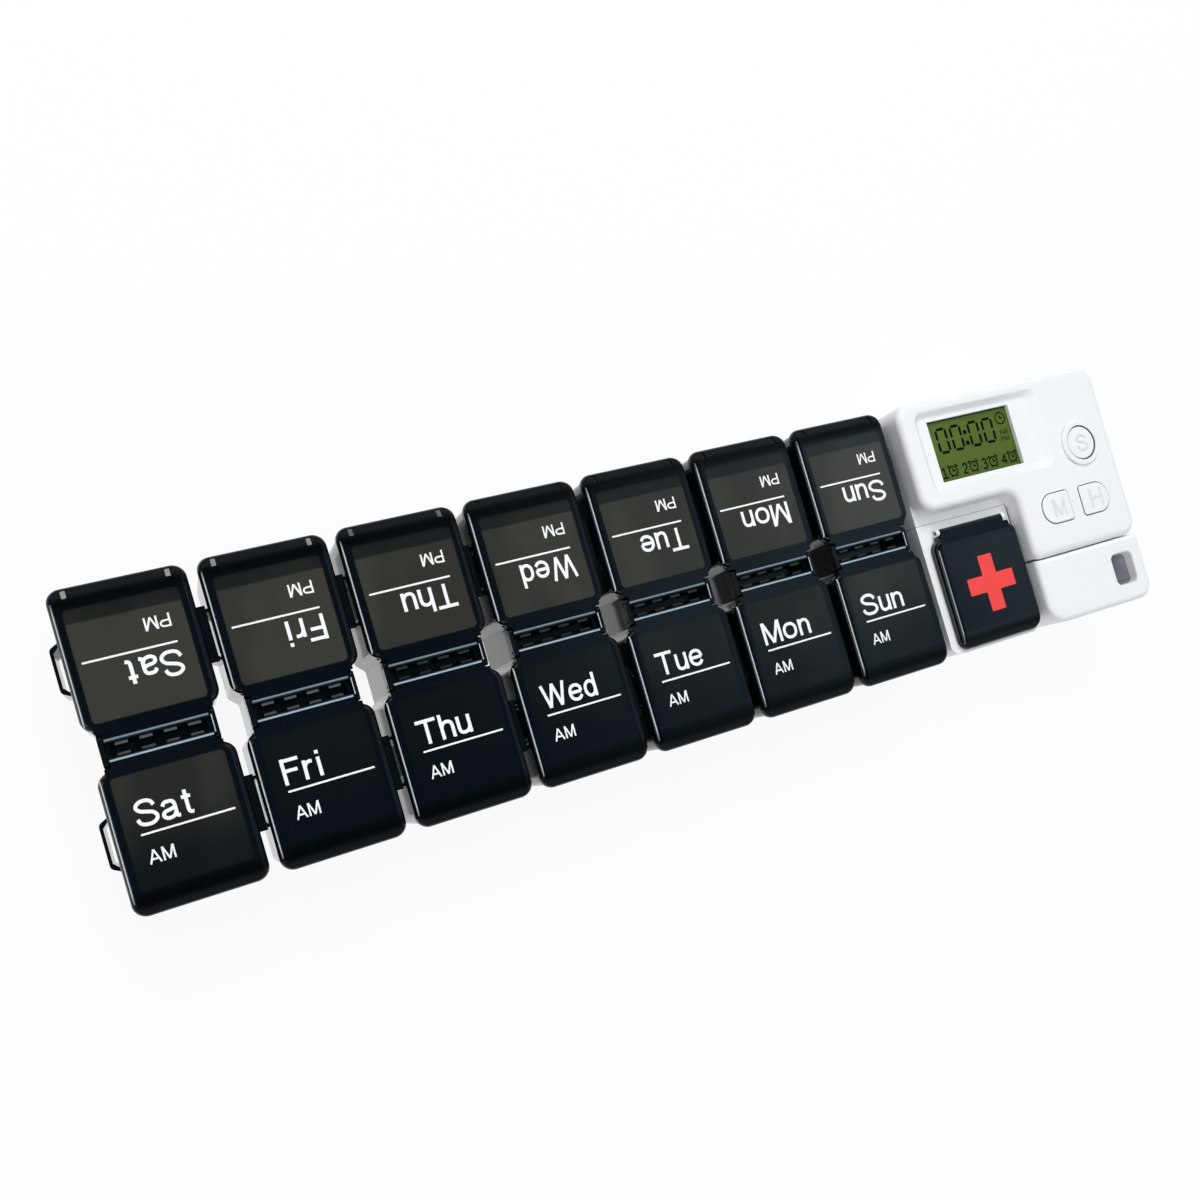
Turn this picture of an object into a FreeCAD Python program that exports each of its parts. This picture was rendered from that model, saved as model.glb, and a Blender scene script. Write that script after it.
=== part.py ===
import FreeCAD, Part
import math
import os
import re
import Sketcher

# Weekly pill organizer: a row of two-bay day pods that hook onto each other, and a white timer module
# with a first aid box at the right-hand end. +X runs along the row towards the timer, +Y from the morning
# row to the evening row, +Z up. The origin is at the middle of the row, on the surface it stands on.

DAYS = ("sat", "fri", "thu", "wed", "tue", "mon", "sun")
RIBS = 4
GRIPS = 5

# Driving dimensions in millimetres.
SIZES = {
    # Lids
    "lid_width": 27.8,
    "lid_gap": 2.2,
    "lid_lip": 0.55,
    "lid_rear": 4.2,
    "lid_top": 25.0,
    "lid_height": 2.7,
    "lid_skin": 1.4,
    "lid_wall": 1.3,
    "lid_corner": 3.0,
    "lid_round": 1.5,
    "nose_length": 5.0,
    "nose_drop": 1.6,
    "nose_wall": 2.2,
    "rim_depth": 1.0,
    "rim_wall": 0.9,
    "mark_side": 3.6,
    "mark_width": 1.2,
    "mark_length": 2.0,
    "mark_inset": 0.6,
    "mark_depth": 0.25,
    # Clearances
    "running_gap": 0.3,
    "seat_gap": 0.3,
    "snap_gap": 0.1,
    "pin_gap": 0.05,
    # Lid hinges
    "hinge_offset": 2.3,
    "hinge_rise": 0.8,
    "barrel_radius": 0.9,
    "pin_radius": 0.5,
    "web_run": 0.5,
    "tongue_height": 1.5,
    "tongue_lip": 0.1,
    "cheek_radius": 1.0,
    "cheek_width": 0.95,
    # Day boxes
    "box_overhang": 0.15,
    "finger_lip": 0.6,
    "box_wall": 1.2,
    "box_floor": 1.4,
    "box_corner": 3.0,
    "bay_corner": 2.5,
    "bay_round": 2.0,
    "bay_setback": 1.2,
    "foot_round": 1.0,
    "waist_step": 2.15,
    "waist_tuck": 0.25,
    "waist_round": 1.0,
    # Hinge bridges
    "flange_height": 1.5,
    "plug_depth": 4.5,
    "groove_width": 2.6,
    "groove_end": 1.0,
    "groove_depth": 4.0,
    "rib_width": 2.6,
    "rib_reach": 0.45,
    "rib_rise": 0.3,
    # Loops and hooks
    "loop_shift": 0.75,
    "loop_length": 12.4,
    "loop_gap": 0.35,
    "loop_band": 0.7,
    "loop_slope": 1.5,
    "loop_round": 1.2,
    "loop_height": 12.0,
    "loop_drop": 2.0,
    "hook_margin": 5.4,
    "hook_room": 0.25,
    "hook_arm": 1.4,
    "hook_drop": 8.0,
    # Timer module
    "module_stand": 2.7,
    "module_corner": 4.5,
    "rear_inset": 0.2,
    "timer_rise": 3.0,
    "cover_round": 2.0,
    "cover_wall": 1.6,
    "cover_skin": 1.8,
    "notch_margin": 3.2,
    "column_corner": 2.5,
    "block_front": 4.65,
    "notch_round": 4.0,
    "foot_front": 2.3,
    "lid_shift_x": 0.85,
    "lid_shift_y": 1.5,
    "case_wall": 1.6,
    "case_floor": 1.4,
    # Key ring block
    "key_block": 18.4,
    "key_corner": 6.0,
    "cap_drop": 0.8,
    "cap_height": 3.3,
    "cap_round": 1.5,
    "slot_inset": 4.2,
    "slot_width": 7.6,
    "slot_front_margin": 5.1,
    "slot_rear_margin": 4.5,
    "slot_corner": 1.6,
    "slot_wall": 2.0,
    "slot_step": 0.3,
    # Display
    "recess_left": 4.8,
    "recess_inset": 21.7,
    "recess_margin": 4.35,
    "recess_rear_margin": 3.2,
    "recess_depth": 1.5,
    "recess_slope": 1.6,
    "recess_ramp": 3.5,
    "recess_corner": 2.8,
    "recess_round": 0.9,
    "display_side": 3.1,
    "display_over": 6.5,
    "display_edge": 1.1,
    "window_wall": 1.2,
    "panel_border": 1.2,
    "panel_height": 1.9,
    # Buttons
    "set_inset": 11.6,
    "set_share": 0.4277,
    "set_radius": 4.7,
    "set_sink": 0.2,
    "ring_radius": 6.5,
    "ring_height": 0.7,
    "ring_round": 0.5,
    "keys_inset": 19.1,
    "keys_share": 0.251,
    "key_split": 4.1,
    "key_length": 9.9,
    "key_depth": 8.4,
    "key_nose": 3.9,
    "key_round": 0.9,
    "key_rise": 0.4,
    "key_edge": 0.4,
    "button_gap": 0.25,
    "button_flange": 0.9,
    "flange_thickness": 0.8,
    "stem_radius": 1.6,
    "stem_length": 0.4,
    "button_travel": 0.6,
    "touch_gap": 0.1,
    # Electronics
    "board_drop": 0.4,
    "board_height": 1.2,
    "board_gap": 0.5,
    "sheet_height": 0.8,
    "sheet_margin": 1.4,
    "dome_radius": 2.2,
    "strip_width": 2.4,
    "buzzer_radius": 6.0,
    "buzzer_height": 4.0,
    # Batteries and their door
    "cell_radius": 5.25,
    "cell_length": 44.5,
    "cell_split": 0.6,
    "cell_tip": 0.8,
    "cell_tip_radius": 1.9,
    "contact_room": 1.05,
    "contact_split": 1.0,
    "contact_height": 7.0,
    "contact_thickness": 0.4,
    "bump_base": 2.3,
    "bump_tip": 1.4,
    "side_room": 2.3,
    "door_margin": 0.8,
    "door_tongue": 0.9,
    "door_height": 1.0,
    "door_setback": 1.2,
    "grip_inset": 6.0,
    "grip_pitch": 2.0,
    "grip_width": 1.0,
    "grip_depth": 0.5,
    "bay_rib": 1.2,
    # Case screws
    "post_inset": 4.8,
    "post_clear": 0.2,
    "post_radius": 2.8,
    "boss_radius": 2.2,
    "screw_radius": 1.1,
    "screw_head_radius": 2.0,
    "screw_head_height": 1.6,
    "head_drop": 6.4,
}

# Depths: the cells and the key ring block set the length of the timer, and the lids reach as far.
COLUMN_LENGTH = "(cell_length + 2 * contact_room + 2 * case_wall)"
LID_REACH = f"(({COLUMN_LENGTH} + snap_gap + key_block) / 2 + lid_lip)"
MODULE_REAR = f"({LID_REACH} - rear_inset)"
COLUMN_FRONT = f"({COLUMN_LENGTH} - {MODULE_REAR})"
CAP_REAR = f"({COLUMN_FRONT} + snap_gap)"
CASE_FRONT = f"({CAP_REAR} + key_block)"
MODULE_FRONT = f"({CASE_FRONT} + snap_gap)"
CASE_INNER_REAR = f"({MODULE_REAR} - case_wall)"
COLUMN_INNER_FRONT = f"(case_wall - {COLUMN_FRONT})"

# Heights.
LID_BASE = "(lid_top - lid_height)"
BOX_TOP = f"({LID_BASE} - seat_gap)"
HINGE_Z = f"({LID_BASE} + hinge_rise)"
FLANGE_BASE = f"({BOX_TOP} - flange_height)"
LOOP_TOP = f"({BOX_TOP} - loop_drop)"
LOOP_BOTTOM = f"({LOOP_TOP} - loop_height)"
TIMER_TOP = "(lid_top + timer_rise)"
CAP_BASE = f"({TIMER_TOP} - cap_drop - cap_height)"
FLOOR_Z = f"({TIMER_TOP} - recess_depth)"
WINDOW_BASE = f"({FLOOR_Z} - window_wall)"
CEILING = f"({TIMER_TOP} - cover_skin)"
PANEL_BASE = f"({WINDOW_BASE} - snap_gap - panel_height)"
BOARD_TOP = f"({BOX_TOP} - board_drop)"
BOARD_BASE = f"({BOARD_TOP} - board_height)"
STEM_BASE = f"({CEILING} - running_gap - flange_thickness - stem_length)"
DOME_TOP = f"({STEM_BASE} - button_travel - touch_gap)"
HEAD_LEVEL = f"({BOARD_BASE} - head_drop)"
SCREW_TIP = f"({WINDOW_BASE} - running_gap)"
CELL_Z = "(case_floor + door_height + 2 * running_gap + cell_radius)"

# Pods.
POD_PITCH = "(lid_width + lid_gap)"
BOX_HALF = "(lid_width / 2 - box_overhang)"
BOX_REACH = f"({LID_REACH} - finger_lip)"
BAY_HALF = f"({BOX_HALF} - box_wall)"
BAY_REAR = "(lid_rear + bay_setback)"
BAY_REACH = f"({BOX_REACH} - box_wall)"
WAIST_HALF = "(lid_width / 2 - waist_step)"
CHEEK_REACH = "(hinge_offset + cheek_radius)"
EAR_INNER = f"({WAIST_HALF} - cheek_width)"
BARREL_HALF = f"({EAR_INNER} - running_gap)"
PLUG_HALF = f"({WAIST_HALF} - box_wall)"
GROOVE_HALF = f"({EAR_INNER} - groove_end)"
LOOP_REACH = f"({POD_PITCH} - {BOX_HALF} - loop_gap)"
LOOP_Y = f"(({LID_REACH} + lid_rear) / 2 - loop_shift)"
BAND_GAP = f"({BOX_HALF} + loop_gap)"
HOOK_TIP = f"({BAND_GAP} + loop_band + running_gap)"
HOOK_LEG = "(lid_gap - loop_band - 2 * running_gap - hook_room)"

# Widths of the timer module, from its left-hand wall.
DOOR_WIDTH = "(4 * cell_radius + cell_split + door_margin)"
DOOR_HALF = f"({DOOR_WIDTH} / 2 + door_tongue)"
BAY_SIDE = f"({DOOR_HALF} + running_gap)"
COLUMN_LEFT = "(lid_width + notch_margin)"
BATTERY_X = f"({COLUMN_LEFT} + case_wall + side_room + bay_rib + {BAY_SIDE})"
MODULE_WIDTH = f"({BATTERY_X} + {BAY_SIDE} + post_clear + post_radius + post_inset)"
KEY_LEFT = f"({COLUMN_LEFT} + snap_gap)"
FIRST_AID_X = f"(({COLUMN_LEFT} - running_gap) / 2 + lid_shift_x)"
SLOT_RIGHT = f"({MODULE_WIDTH} - slot_inset)"
SLOT_LEFT = f"({SLOT_RIGHT} - slot_width)"
SLOT_FRONT = f"({CASE_FRONT} - slot_front_margin)"
SLOT_REAR = f"({CAP_REAR} + slot_rear_margin)"
RECESS_RIGHT = f"({MODULE_WIDTH} - recess_inset)"
RECESS_FRONT = "(block_front + recess_margin)"
RECESS_REAR = f"({MODULE_REAR} - recess_rear_margin)"
DISPLAY_LEFT = "(recess_left + recess_slope + display_side)"
DISPLAY_RIGHT = f"({COLUMN_LEFT} + display_over)"
DISPLAY_FRONT = f"({RECESS_FRONT} + recess_slope + display_edge)"
DISPLAY_REAR = f"({RECESS_REAR} - recess_slope - display_edge)"
SET_X = f"({MODULE_WIDTH} - set_inset)"
SET_Y = f"({MODULE_REAR} - set_share * {COLUMN_LENGTH})"
KEYS_X = f"({MODULE_WIDTH} - keys_inset)"
KEYS_Y = f"(keys_share * {COLUMN_LENGTH} - {COLUMN_FRONT})"
CELL_STEP = "(cell_radius + cell_split / 2)"
CELL_Y = f"(({MODULE_REAR} - {COLUMN_FRONT}) / 2)"
DOOR_FRONT = f"({COLUMN_FRONT} - case_wall - door_setback)"

# The row is centred on the origin.
LAST_POD = f"({len(DAYS) - 1} * {POD_PITCH})"
MODULE_LEFT = f"({BAND_GAP} + module_stand)"
ROW_START = f"(({LOOP_REACH} - {LAST_POD} - {MODULE_LEFT} - {MODULE_WIDTH}) / 2)"
MODULE_X = f"({ROW_START} + {LAST_POD} + {MODULE_LEFT})"

doc = FreeCAD.newDocument("pill_organizer")
sheet = doc.addObject("Spreadsheet::Sheet", "size")
for row, (alias, number) in enumerate(SIZES.items(), start=1):
    sheet.set(f"A{row}", alias)
    sheet.set(f"B{row}", str(number))
    sheet.setAlias(f"B{row}", alias)
doc.recompute()

parts = {}


def value(formula):
    """The number that a formula of sheet names comes to."""
    return float(sheet.evalExpression(str(formula)))


def bind(target, prop, formula):
    """Tie a property to a formula of sheet names."""
    words = re.sub(r"[a-z_]+", lambda word: f"size.{word.group()}" if word.group() in SIZES else word.group(),
                   str(formula))
    target.setExpression(prop, words)


def new_body(label):
    body = doc.addObject("PartDesign::Body", label)
    body.Label = label
    return body


def new_sketch(body, role, level="0"):
    """A sketch on one of the body's own origin planes, raised along the plane's normal."""
    plane = [feature for feature in body.Origin.OriginFeatures if feature.Role == role][0]
    sketch = body.newObject("Sketcher::SketchObject", "sketch")
    sketch.AttachmentSupport = [(plane, "")]
    sketch.MapMode = "FlatFace"
    bind(sketch, "AttachmentOffset.Base.z", level)
    return sketch


def fix_point(sketch, geometry, end, x, y):
    for kind, formula in (("DistanceX", x), ("DistanceY", y)):
        index = sketch.addConstraint(Sketcher.Constraint(kind, -1, 1, geometry, end, value(formula)))
        bind(sketch, f"Constraints[{index}]", formula)


def polygon(sketch, corners):
    """A closed outline of straight sides."""
    points = [FreeCAD.Vector(value(x), value(y), 0) for x, y in corners]
    count = len(points)
    sides = [sketch.addGeometry(Part.LineSegment(points[i], points[(i + 1) % count])) for i in range(count)]
    for i in range(count):
        sketch.addConstraint(Sketcher.Constraint("Coincident", sides[i], 2, sides[(i + 1) % count], 1))
        fix_point(sketch, sides[i], 1, *corners[i])


def rectangle(sketch, left, right, front, rear):
    polygon(sketch, [(left, front), (right, front), (right, rear), (left, rear)])


def rounded_rectangle(sketch, left, right, front, rear, radius):
    """Four sides joined by tangent quarter circles."""
    x0, x1, y0, y1, r = (value(formula) for formula in (left, right, front, rear, radius))
    ends = [((x0 + r, y0), (x1 - r, y0)), ((x1, y0 + r), (x1, y1 - r)),
            ((x1 - r, y1), (x0 + r, y1)), ((x0, y1 - r), (x0, y0 + r))]
    centres = [(x1 - r, y0 + r), (x1 - r, y1 - r), (x0 + r, y1 - r), (x0 + r, y0 + r)]
    axis = FreeCAD.Vector(0, 0, 1)
    sides = []
    arcs = []
    for side, (start, end) in enumerate(ends):
        sides.append(sketch.addGeometry(Part.LineSegment(FreeCAD.Vector(*start, 0), FreeCAD.Vector(*end, 0))))
        circle = Part.Circle(FreeCAD.Vector(*centres[side], 0), axis, r)
        turn = math.pi / 2 * (side - 1)
        arcs.append(sketch.addGeometry(Part.ArcOfCircle(circle, turn, turn + math.pi / 2)))
    for i in range(4):
        sketch.addConstraint(Sketcher.Constraint("Tangent", sides[i], 2, arcs[i], 1))
        sketch.addConstraint(Sketcher.Constraint("Tangent", arcs[i], 2, sides[(i + 1) % 4], 1))
        sketch.addConstraint(Sketcher.Constraint("Vertical" if i % 2 else "Horizontal", sides[i]))
    for arc in arcs[1:]:
        sketch.addConstraint(Sketcher.Constraint("Equal", arcs[0], arc))
    index = sketch.addConstraint(Sketcher.Constraint("Radius", arcs[0], r))
    bind(sketch, f"Constraints[{index}]", radius)
    for kind, side, formula in (("DistanceY", 0, front), ("DistanceX", 1, right),
                                ("DistanceY", 2, rear), ("DistanceX", 3, left)):
        index = sketch.addConstraint(Sketcher.Constraint(kind, -1, 1, sides[side], 1, value(formula)))
        bind(sketch, f"Constraints[{index}]", formula)


def circle(sketch, x, y, radius):
    centre = FreeCAD.Vector(value(x), value(y), 0)
    ring = sketch.addGeometry(Part.Circle(centre, FreeCAD.Vector(0, 0, 1), value(radius)))
    fix_point(sketch, ring, 3, x, y)
    index = sketch.addConstraint(Sketcher.Constraint("Radius", ring, value(radius)))
    bind(sketch, f"Constraints[{index}]", radius)


def finish(feature):
    """Recompute a feature and stop if it failed."""
    doc.recompute()
    if "Invalid" in feature.State or "Error" in feature.State or not feature.Shape.isValid():
        raise RuntimeError(f"{feature.Label} failed")
    return feature


def pad(body, sketch, length, both_sides=False):
    feature = body.newObject("PartDesign::Pad", "pad")
    feature.Profile = sketch
    bind(feature, "Length", length)
    feature.Midplane = both_sides
    return finish(feature)


def pocket(body, sketch, length, upward=False, both_sides=False):
    """Cut against the sketch's normal, or along it when upward."""
    before = body.Shape.Volume
    feature = body.newObject("PartDesign::Pocket", "pocket")
    feature.Profile = sketch
    bind(feature, "Length", length)
    feature.Reversed = upward
    feature.Midplane = both_sides
    finish(feature)
    if body.Shape.Volume > before - 1e-6:
        raise RuntimeError(f"a pocket in {body.Label} cuts nothing")
    return feature


def fillet(body, names, radius):
    """Round named edges of the body's last feature."""
    base = body.Tip
    feature = body.newObject("PartDesign::Fillet", "fillet")
    feature.Base = (base, names)
    bind(feature, "Radius", radius)
    return finish(feature)


def edges(body, test):
    """Names of the edges of the body's last feature whose corners all pass a test."""
    found = []
    for number, edge in enumerate(body.Tip.Shape.Edges, start=1):
        middle = edge.valueAt((edge.FirstParameter + edge.LastParameter) / 2)
        points = [vertex.Point for vertex in edge.Vertexes] + [middle]
        if all(test(point) for point in points):
            found.append(f"Edge{number}")
    return found


def near(number, formula):
    return abs(number - value(formula)) < 1e-4


def level_edges(body, level):
    return edges(body, lambda point: near(point.z, level))


def upright_edges(body, places):
    return edges(body, lambda point: any(near(point.x, x) and near(point.y, y) for x, y in places))


def within(point, left, right, front, rear):
    """Whether a point lies in a rectangle seen from above."""
    reach = 1e-3
    return (value(left) - reach < point.x < value(right) + reach
            and value(front) - reach < point.y < value(rear) + reach)


def loop_outline(sketch, wall, outer, side):
    """A belt loop seen from above: a slanted band and the slot behind it, at one end of a box."""
    sign = "" if side > 0 else "-"
    middle = f"({sign}{LOOP_Y})"
    inner = f"({outer} + loop_band)"
    root = f"({wall} + box_wall / 2)"
    for x, far, length in ((outer, root, "loop_length"), (inner, wall, "(loop_length - 3 * loop_band)")):
        polygon(sketch, [(far, f"{middle} - {length} / 2"), (x, f"{middle} - {length} / 2 + loop_slope"),
                         (x, f"{middle} + {length} / 2 - loop_slope"), (far, f"{middle} + {length} / 2")])


def loop_corners(outer, side):
    """The two outer corners of a belt loop, to be rounded."""
    sign = "" if side > 0 else "-"
    shift = "(loop_length / 2 - loop_slope)"
    return [(outer, f"{sign}{LOOP_Y} {turn} {shift}") for turn in ("-", "+")]


def lid_body(label, marked):
    """A lid in its pod's frame, on the evening side: slab, nose, locating rim, tongue and hinge barrel."""
    body = new_body(label)
    half = "lid_width / 2"
    slab = new_sketch(body, "XY_Plane", LID_BASE)
    rounded_rectangle(slab, f"-{half}", half, "lid_rear", LID_REACH, "lid_corner")
    pad(body, slab, "lid_height")
    nose_cut(body)
    crown = value("lid_top - nose_drop") - 1e-4
    seam = edges(body, lambda point: near(point.y, f"{LID_REACH} - nose_length"))
    top = [name for name in edges(body, lambda point: point.z > crown) if name not in seam]
    fillet(body, top, "lid_round")
    hollow = new_sketch(body, "XY_Plane", LID_BASE)
    rounded_rectangle(hollow, f"lid_wall - {half}", f"{half} - lid_wall", "lid_rear + lid_wall",
                      f"{LID_REACH} - nose_wall", "lid_corner - lid_wall")
    pocket(body, hollow, "lid_height - lid_skin", upward=True)
    rim = new_sketch(body, "XY_Plane", f"{LID_BASE} - rim_depth")
    for inset, radius in (("running_gap", "bay_corner - running_gap"),
                          ("(running_gap + rim_wall)", "bay_corner - running_gap - rim_wall")):
        rounded_rectangle(rim, f"{inset} - {BAY_HALF}", f"{BAY_HALF} - {inset}", f"{BAY_REAR} + {inset}",
                          f"{BAY_REACH} - {inset}", radius)
    pad(body, rim, "rim_depth + lid_height - lid_skin")
    hinge_web(body)
    for radius, reach in (("barrel_radius", BARREL_HALF), ("pin_radius", f"({WAIST_HALF} - snap_gap)")):
        end = new_sketch(body, "YZ_Plane")
        circle(end, "hinge_offset", HINGE_Z, radius)
        pad(body, end, f"2 * {reach}", both_sides=True)
    if marked:
        catch_marks(body)
    return body


def hinge_web(body):
    """The tongue between lid and barrel: shoulders beside the ears, and a top that slopes to the barrel."""
    tongue_half = f"({WAIST_HALF} + tongue_lip)"
    shoulder = f"({CHEEK_REACH} + running_gap)"
    brow = "(lid_rear + lid_round)"
    tongue_base = f"({HINGE_Z} - tongue_height / 2)"
    tongue = new_sketch(body, "XY_Plane", tongue_base)
    right = [(BARREL_HALF, "hinge_offset"), (BARREL_HALF, shoulder), (tongue_half, shoulder),
             (tongue_half, f"{brow} + web_run")]
    left = [(f"-{x}", y) for x, y in reversed(right)]
    polygon(tongue, right + left)
    pad(body, tongue, f"lid_top - {tongue_base}")
    slope = new_sketch(body, "YZ_Plane")
    crest = f"({HINGE_Z} + barrel_radius)"
    over = "(lid_top + lid_height)"
    polygon(slope, [("0", crest), ("hinge_offset", crest), (brow, "lid_top"), (brow, over), ("0", over)])
    pocket(body, slope, f"2 * {tongue_half}", both_sides=True)


def nose_fall(distance):
    """How far the nose of a lid has come down at a distance from where it starts."""
    radius = "((nose_length ^ 2 + nose_drop ^ 2) / (2 * nose_drop))"
    return f"({radius} - sqrt({radius} ^ 2 - ({distance}) ^ 2))"


def catch_marks(body):
    """Two shallow catch marks in the nose, one near each front corner of the lid."""
    far = "(nose_length - mark_inset)"
    near_end = f"({far} - mark_length)"
    start = f"({LID_REACH} - nose_length)"
    over = "(lid_top + lid_height)"
    for sign in ("-", ""):
        mark = new_sketch(body, "YZ_Plane", f"{sign}(lid_width / 2 - mark_side)")
        polygon(mark, [(f"{start} + {near_end}", f"lid_top - {nose_fall(near_end)} - mark_depth"),
                       (f"{start} + {far}", f"lid_top - {nose_fall(far)} - mark_depth"),
                       (f"{start} + {far}", over), (f"{start} + {near_end}", over)])
        pocket(body, mark, "mark_width", both_sides=True)


def nose_cut(body):
    """Round the opening edge of a lid down in one long arc that leaves the flat top smoothly."""
    sketch = new_sketch(body, "YZ_Plane")
    blend = f"({LID_REACH} - nose_length)"
    start = (blend, "lid_top")
    end = (LID_REACH, "lid_top - nose_drop")
    out = f"({LID_REACH} + nose_length)"
    over = "lid_top + nose_length"
    corners = [end, (out, "lid_top - nose_drop"), (out, over), (blend, over), start]
    points = [FreeCAD.Vector(value(x), value(y), 0) for x, y in corners]
    sides = [sketch.addGeometry(Part.LineSegment(points[i], points[i + 1])) for i in range(4)]
    radius = (value("nose_length") ** 2 + value("nose_drop") ** 2) / (2 * value("nose_drop"))
    centre = FreeCAD.Vector(points[4].x, points[4].y - radius, 0)
    ring = Part.Circle(centre, FreeCAD.Vector(0, 0, 1), radius)
    arc = sketch.addGeometry(Part.ArcOfCircle(ring, math.pi / 2 - math.asin(value("nose_length") / radius),
                                              math.pi / 2))
    for i in range(3):
        sketch.addConstraint(Sketcher.Constraint("Coincident", sides[i], 2, sides[i + 1], 1))
    for i in range(4):
        fix_point(sketch, sides[i], 1, *corners[i])
    fix_point(sketch, sides[3], 2, *start)
    sketch.addConstraint(Sketcher.Constraint("Coincident", arc, 1, sides[0], 1))
    sketch.addConstraint(Sketcher.Constraint("Coincident", arc, 2, sides[3], 2))
    index = sketch.addConstraint(Sketcher.Constraint("DistanceX", -1, 1, arc, 3, centre.x))
    bind(sketch, f"Constraints[{index}]", blend)
    pocket(body, sketch, "2 * lid_width", both_sides=True)


def day_box_body(label):
    """A box of two bays joined at a narrow waist, with loops on its left side and hooks on its right."""
    body = new_body(label)
    turn = "(lid_rear - waist_tuck)"
    spread = f"({turn} + {BOX_HALF} - {WAIST_HALF})"
    outline = new_sketch(body, "XY_Plane")
    right = [(BOX_HALF, f"-{BOX_REACH}"), (BOX_HALF, f"-{spread}"), (WAIST_HALF, f"-{turn}"),
             (WAIST_HALF, turn), (BOX_HALF, spread), (BOX_HALF, BOX_REACH)]
    left = [(f"-{x}", y) for x, y in reversed(right)]
    polygon(outline, right + left)
    pad(body, outline, BOX_TOP)
    ends = [(f"{sx}{BOX_HALF}", f"{sy}{BOX_REACH}") for sx in ("", "-") for sy in ("", "-")]
    fillet(body, upright_edges(body, ends), "box_corner")
    turns = [(f"{sx}{x}", f"{sy}{y}") for sx in ("", "-") for sy in ("", "-")
             for x, y in ((BOX_HALF, spread), (WAIST_HALF, turn))]
    fillet(body, upright_edges(body, turns), "waist_round")
    fillet(body, level_edges(body, "0"), "foot_round")
    saddle = new_sketch(body, "XY_Plane", BOX_TOP)
    rectangle(saddle, f"-{BOX_HALF}", BOX_HALF, f"-{CHEEK_REACH} - snap_gap", f"{CHEEK_REACH} + snap_gap")
    pocket(body, saddle, "flange_height")
    socket = new_sketch(body, "XY_Plane", FLANGE_BASE)
    rectangle(socket, f"-{PLUG_HALF}", PLUG_HALF, f"-{CHEEK_REACH} - snap_gap", f"{CHEEK_REACH} + snap_gap")
    pocket(body, socket, "plug_depth + snap_gap")
    bays = new_sketch(body, "XY_Plane", BOX_TOP)
    rounded_rectangle(bays, f"-{BAY_HALF}", BAY_HALF, BAY_REAR, BAY_REACH, "bay_corner")
    rounded_rectangle(bays, f"-{BAY_HALF}", BAY_HALF, f"-{BAY_REACH}", f"-{BAY_REAR}", "bay_corner")
    pocket(body, bays, f"{BOX_TOP} - box_floor")
    fillet(body, level_edges(body, "box_floor"), "bay_round")
    loops = new_sketch(body, "XY_Plane", LOOP_BOTTOM)
    for side in (-1, 1):
        loop_outline(loops, f"-{BOX_HALF}", f"-{LOOP_REACH}", side)
    pad(body, loops, "loop_height")
    corners = [corner for side in (-1, 1) for corner in loop_corners(f"-{LOOP_REACH}", side)]
    fillet(body, upright_edges(body, corners), "loop_round")
    for sign in ("", "-"):
        add_hook(body, f"({sign}{LOOP_Y})")
    return body


def add_hook(body, middle):
    """A plate over the next pod's belt loop, with a leg that goes down into it."""
    root = f"({BOX_HALF} - box_wall / 2)"
    end = f"({HOOK_TIP} + {HOOK_LEG})"
    plate = new_sketch(body, "XY_Plane", f"{LOOP_TOP} + running_gap")
    rectangle(plate, root, end, f"{middle} - loop_length / 2", f"{middle} + loop_length / 2")
    pad(body, plate, "hook_arm")
    leg = new_sketch(body, "XY_Plane", f"{LOOP_TOP} - hook_drop")
    half = "((loop_length - hook_margin) / 2)"
    rectangle(leg, HOOK_TIP, end, f"{middle} - {half}", f"{middle} + {half}")
    pad(body, leg, "hook_drop + running_gap + hook_arm / 2")


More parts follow.
